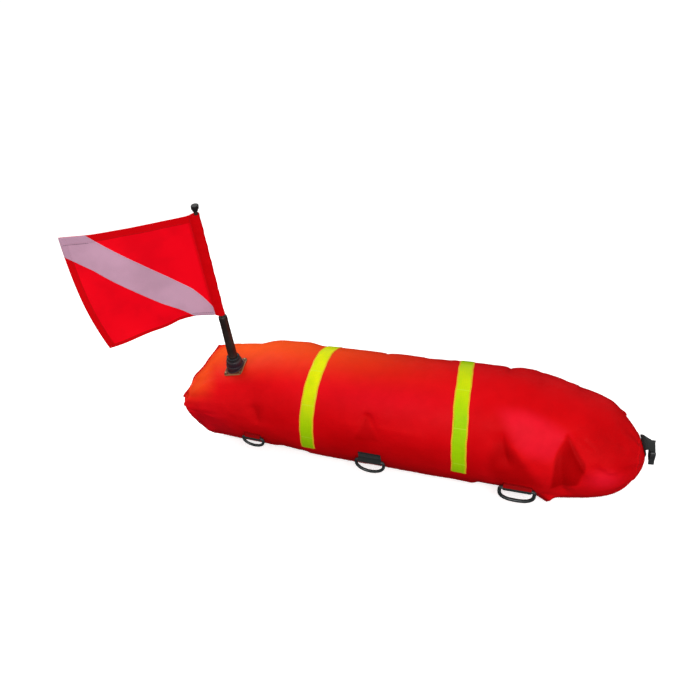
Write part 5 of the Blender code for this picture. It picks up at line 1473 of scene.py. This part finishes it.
k = np.linspace(0, 1, 60)
for a_, b_ in (((1.2, 3.6), (1.2, 21.4)), ((17.0, 3.6), (17.0, 21.4)), ((1.2, 3.6), (17.0, 3.6)),
               ((1.2, 21.4), (17.0, 21.4)), ((1.2, 3.6), (17.0, 21.4)), ((1.2, 21.4), (17.0, 3.6))):
    rows.append(strap_line([(a_[0] + (b_[0] - a_[0]) * t_, a_[1] + (b_[1] - a_[1]) * t_) for t_ in k]))
stitches("strap_stitching", rows, m_thread_black, "float_body", 0.0027, 0.0020, 0.00026)

# male half of a side-release buckle
BW, BN, BT, BL = 0.0270, 0.0190, 0.0080, 0.0445
hw, nw = BW / 2, BN / 2
top_z, frame_z, tip_z = BAR_R + 0.0002, -0.0150, BAR_R - BL
side_o = [(hw - 0.0015, top_z), (hw, top_z - 0.0015), (hw, frame_z + 0.0010), (hw - 0.0016, frame_z),
          (hw - 0.0022, frame_z - 0.0030), (hw - 0.0018, -0.0265), (hw - 0.0004, -0.0290),
          (hw - 0.0006, -0.0325), (nw, tip_z + 0.0024), (nw - 0.0024, tip_z), (nw - 0.0046, tip_z + 0.0012),
          (nw - 0.0044, tip_z + 0.0060), (0.0066, -0.0220), (0.0060, frame_z - 0.0008),
          (0.0048, frame_z - 0.0012), (0.0040, frame_z - 0.0030), (0.0034, tip_z + 0.0050),
          (0.0022, tip_z + 0.0034)]
outline = fillet(side_o + [(-a_, b_) for a_, b_ in reversed(side_o)], 0.0016, 4)
bm = bmesh.new()
lows = [bm.verts.new((-BT / 2, a_, b_)) for a_, b_ in outline]
highs = [bm.verts.new((BT / 2, a_, b_)) for a_, b_ in outline]
for i in range(len(lows)):
    j = (i + 1) % len(lows)
    bm.faces.new((lows[i], lows[j], highs[j], highs[i]))
bm.faces.new(lows)
bm.faces.new(highs)
bmesh.ops.recalc_face_normals(bm, faces=bm.faces)
mesh = bpy.data.meshes.new("buckle")
bm.to_mesh(mesh)
bm.free()
buckle_place = (Matrix.Translation(OFF) @ strap @ Matrix.Translation((BAR_X, 0, 0))
                @ Matrix.Rotation(-math.radians(BUCKLE_SWING), 4, "Y"))
buckle = bpy.data.objects.new("buckle", mesh)
bpy.context.scene.collection.objects.link(buckle)
cutters = []


def block(size, centre):
    b = bmesh.new()
    bmesh.ops.create_cube(b, size=1.0, matrix=Matrix.Translation(centre) @ Matrix.Diagonal((*size, 1.0)))
    me = bpy.data.meshes.new("cutter")
    b.to_mesh(me)
    b.free()
    o = bpy.data.objects.new("cutter_%d" % len(cutters), me)
    bpy.context.scene.collection.objects.link(o)
    cutters.append(o)
    mod = buckle.modifiers.new("cut", "BOOLEAN")
    mod.operation, mod.solver, mod.object = "DIFFERENCE", "EXACT", o


window, core_r = STRAP_W + 0.0012, 0.75 * BAR_R
block((0.030, window, 0.0044), (0.0, 0.0, -core_r - 0.0022))
block((0.030, window, 0.0044), (0.0, 0.0, core_r + 0.0022))
block((0.0100, window, 0.0120), (core_r + 0.0050, 0.0, 0.0006))
block((0.0100, window, 0.0120), (-core_r - 0.0050, 0.0, 0.0006))
# shallow panels pressed into both faces of the frame, and grip lines on the prongs
for sx in (-1, 1):
    block((0.0012, 0.0160, 0.0046), (sx * BT / 2, 0.0, -0.0106))
    for k_ in range(3):
        for sy in (-1, 1):
            block((0.0008, 0.0036, 0.0006), (sx * BT / 2, sy * (hw - 0.0042), -0.0200 - 0.0018 * k_))
mod = buckle.modifiers.new("round", "BEVEL")
mod.width, mod.segments, mod.limit_method, mod.angle_limit = 0.00055, 3, "ANGLE", math.radians(45)
mod.harden_normals = False
deps = bpy.context.evaluated_depsgraph_get()
solid = bpy.data.meshes.new_from_object(buckle.evaluated_get(deps))
bpy.data.objects.remove(buckle)
for o in cutters:
    bpy.data.objects.remove(o)
solid.transform(buckle_place)
solid.name = "buckle"
make("buckle", solid, m_black, "buckle", ("buckle_plug",), 35)

# ------------------------------------------------------------------ floor, light, world
fm, fnt, fsh = new_mat("floor_paper")
ftc = nd(fnt, "ShaderNodeTexCoord")
fn_ = noise(fnt, ftc.outputs["Object"], 3.0, 3)
fnt.links.new(blend(fnt, span(fnt, fn_, 0.3, 0.7, 0.0, 1.0), (0.93, 0.93, 0.93), (0.96, 0.96, 0.96)),
              fsh.inputs["Base Color"])
fsh.inputs["Roughness"].default_value = 0.9
fsh.inputs["Specular IOR Level"].default_value = 0.1
fsh.inputs["Emission Color"].default_value = (1, 1, 1, 1)
fsh.inputs["Emission Strength"].default_value = 0.55
fmesh = bpy.data.meshes.new("floor")
fb = bmesh.new()
bmesh.ops.create_grid(fb, x_segments=8, y_segments=8, size=14.0)
fb.to_mesh(fmesh)
fb.free()
fmesh.materials.append(fm)
floor = bpy.data.objects.new("floor", fmesh)
floor.location = (0, 0, -0.0004)
bpy.context.scene.collection.objects.link(floor)
floor.visible_diffuse = False
floor.visible_glossy = False


def area(name, at, aim, size, watts, colour=(1, 1, 1), size_y=None):
    li = bpy.data.lights.new(name, "AREA")
    li.energy, li.color, li.size = watts, colour, size
    if size_y:
        li.shape, li.size_y = "RECTANGLE", size_y
    o = bpy.data.objects.new(name, li)
    o.location = at
    o.rotation_euler = (Vector(aim) - Vector(at)).to_track_quat("-Z", "Y").to_euler()
    bpy.context.scene.collection.objects.link(o)
    return o


area("front", (0.45, -1.25, 1.40), (0.05, 0.0, 0.08), 0.8, 17.0, (1.0, 0.985, 0.97))
area("low_right", (1.30, -1.10, 0.35), (0.20, 0.0, 0.08), 0.8, 3.5)
area("left_top", (-0.62, 0.35, 0.65), (-0.26, 0.0, 0.15), 0.35, 2.9, (1.0, 0.98, 0.94))
world = bpy.data.worlds.new("studio")
bpy.context.scene.world = world
world.use_nodes = True
wnt = world.node_tree
bg = wnt.nodes["Background"]
wtc = nd(wnt, "ShaderNodeTexCoord")
wsep = nd(wnt, "ShaderNodeSeparateXYZ", {"Vector": wtc.outputs["Generated"]})
sky = blend(wnt, span(wnt, wsep.outputs["Z"], -0.12, 0.06, 0.0, 1.0, True), (0.045, 0.045, 0.050), (1.0, 1.0, 1.0))
wnt.links.new(sky, bg.inputs["Color"])
bg.inputs["Strength"].default_value = 0.52
bpy.context.scene.view_settings.view_transform = "Standard"
bpy.context.scene.view_settings.look = "None"
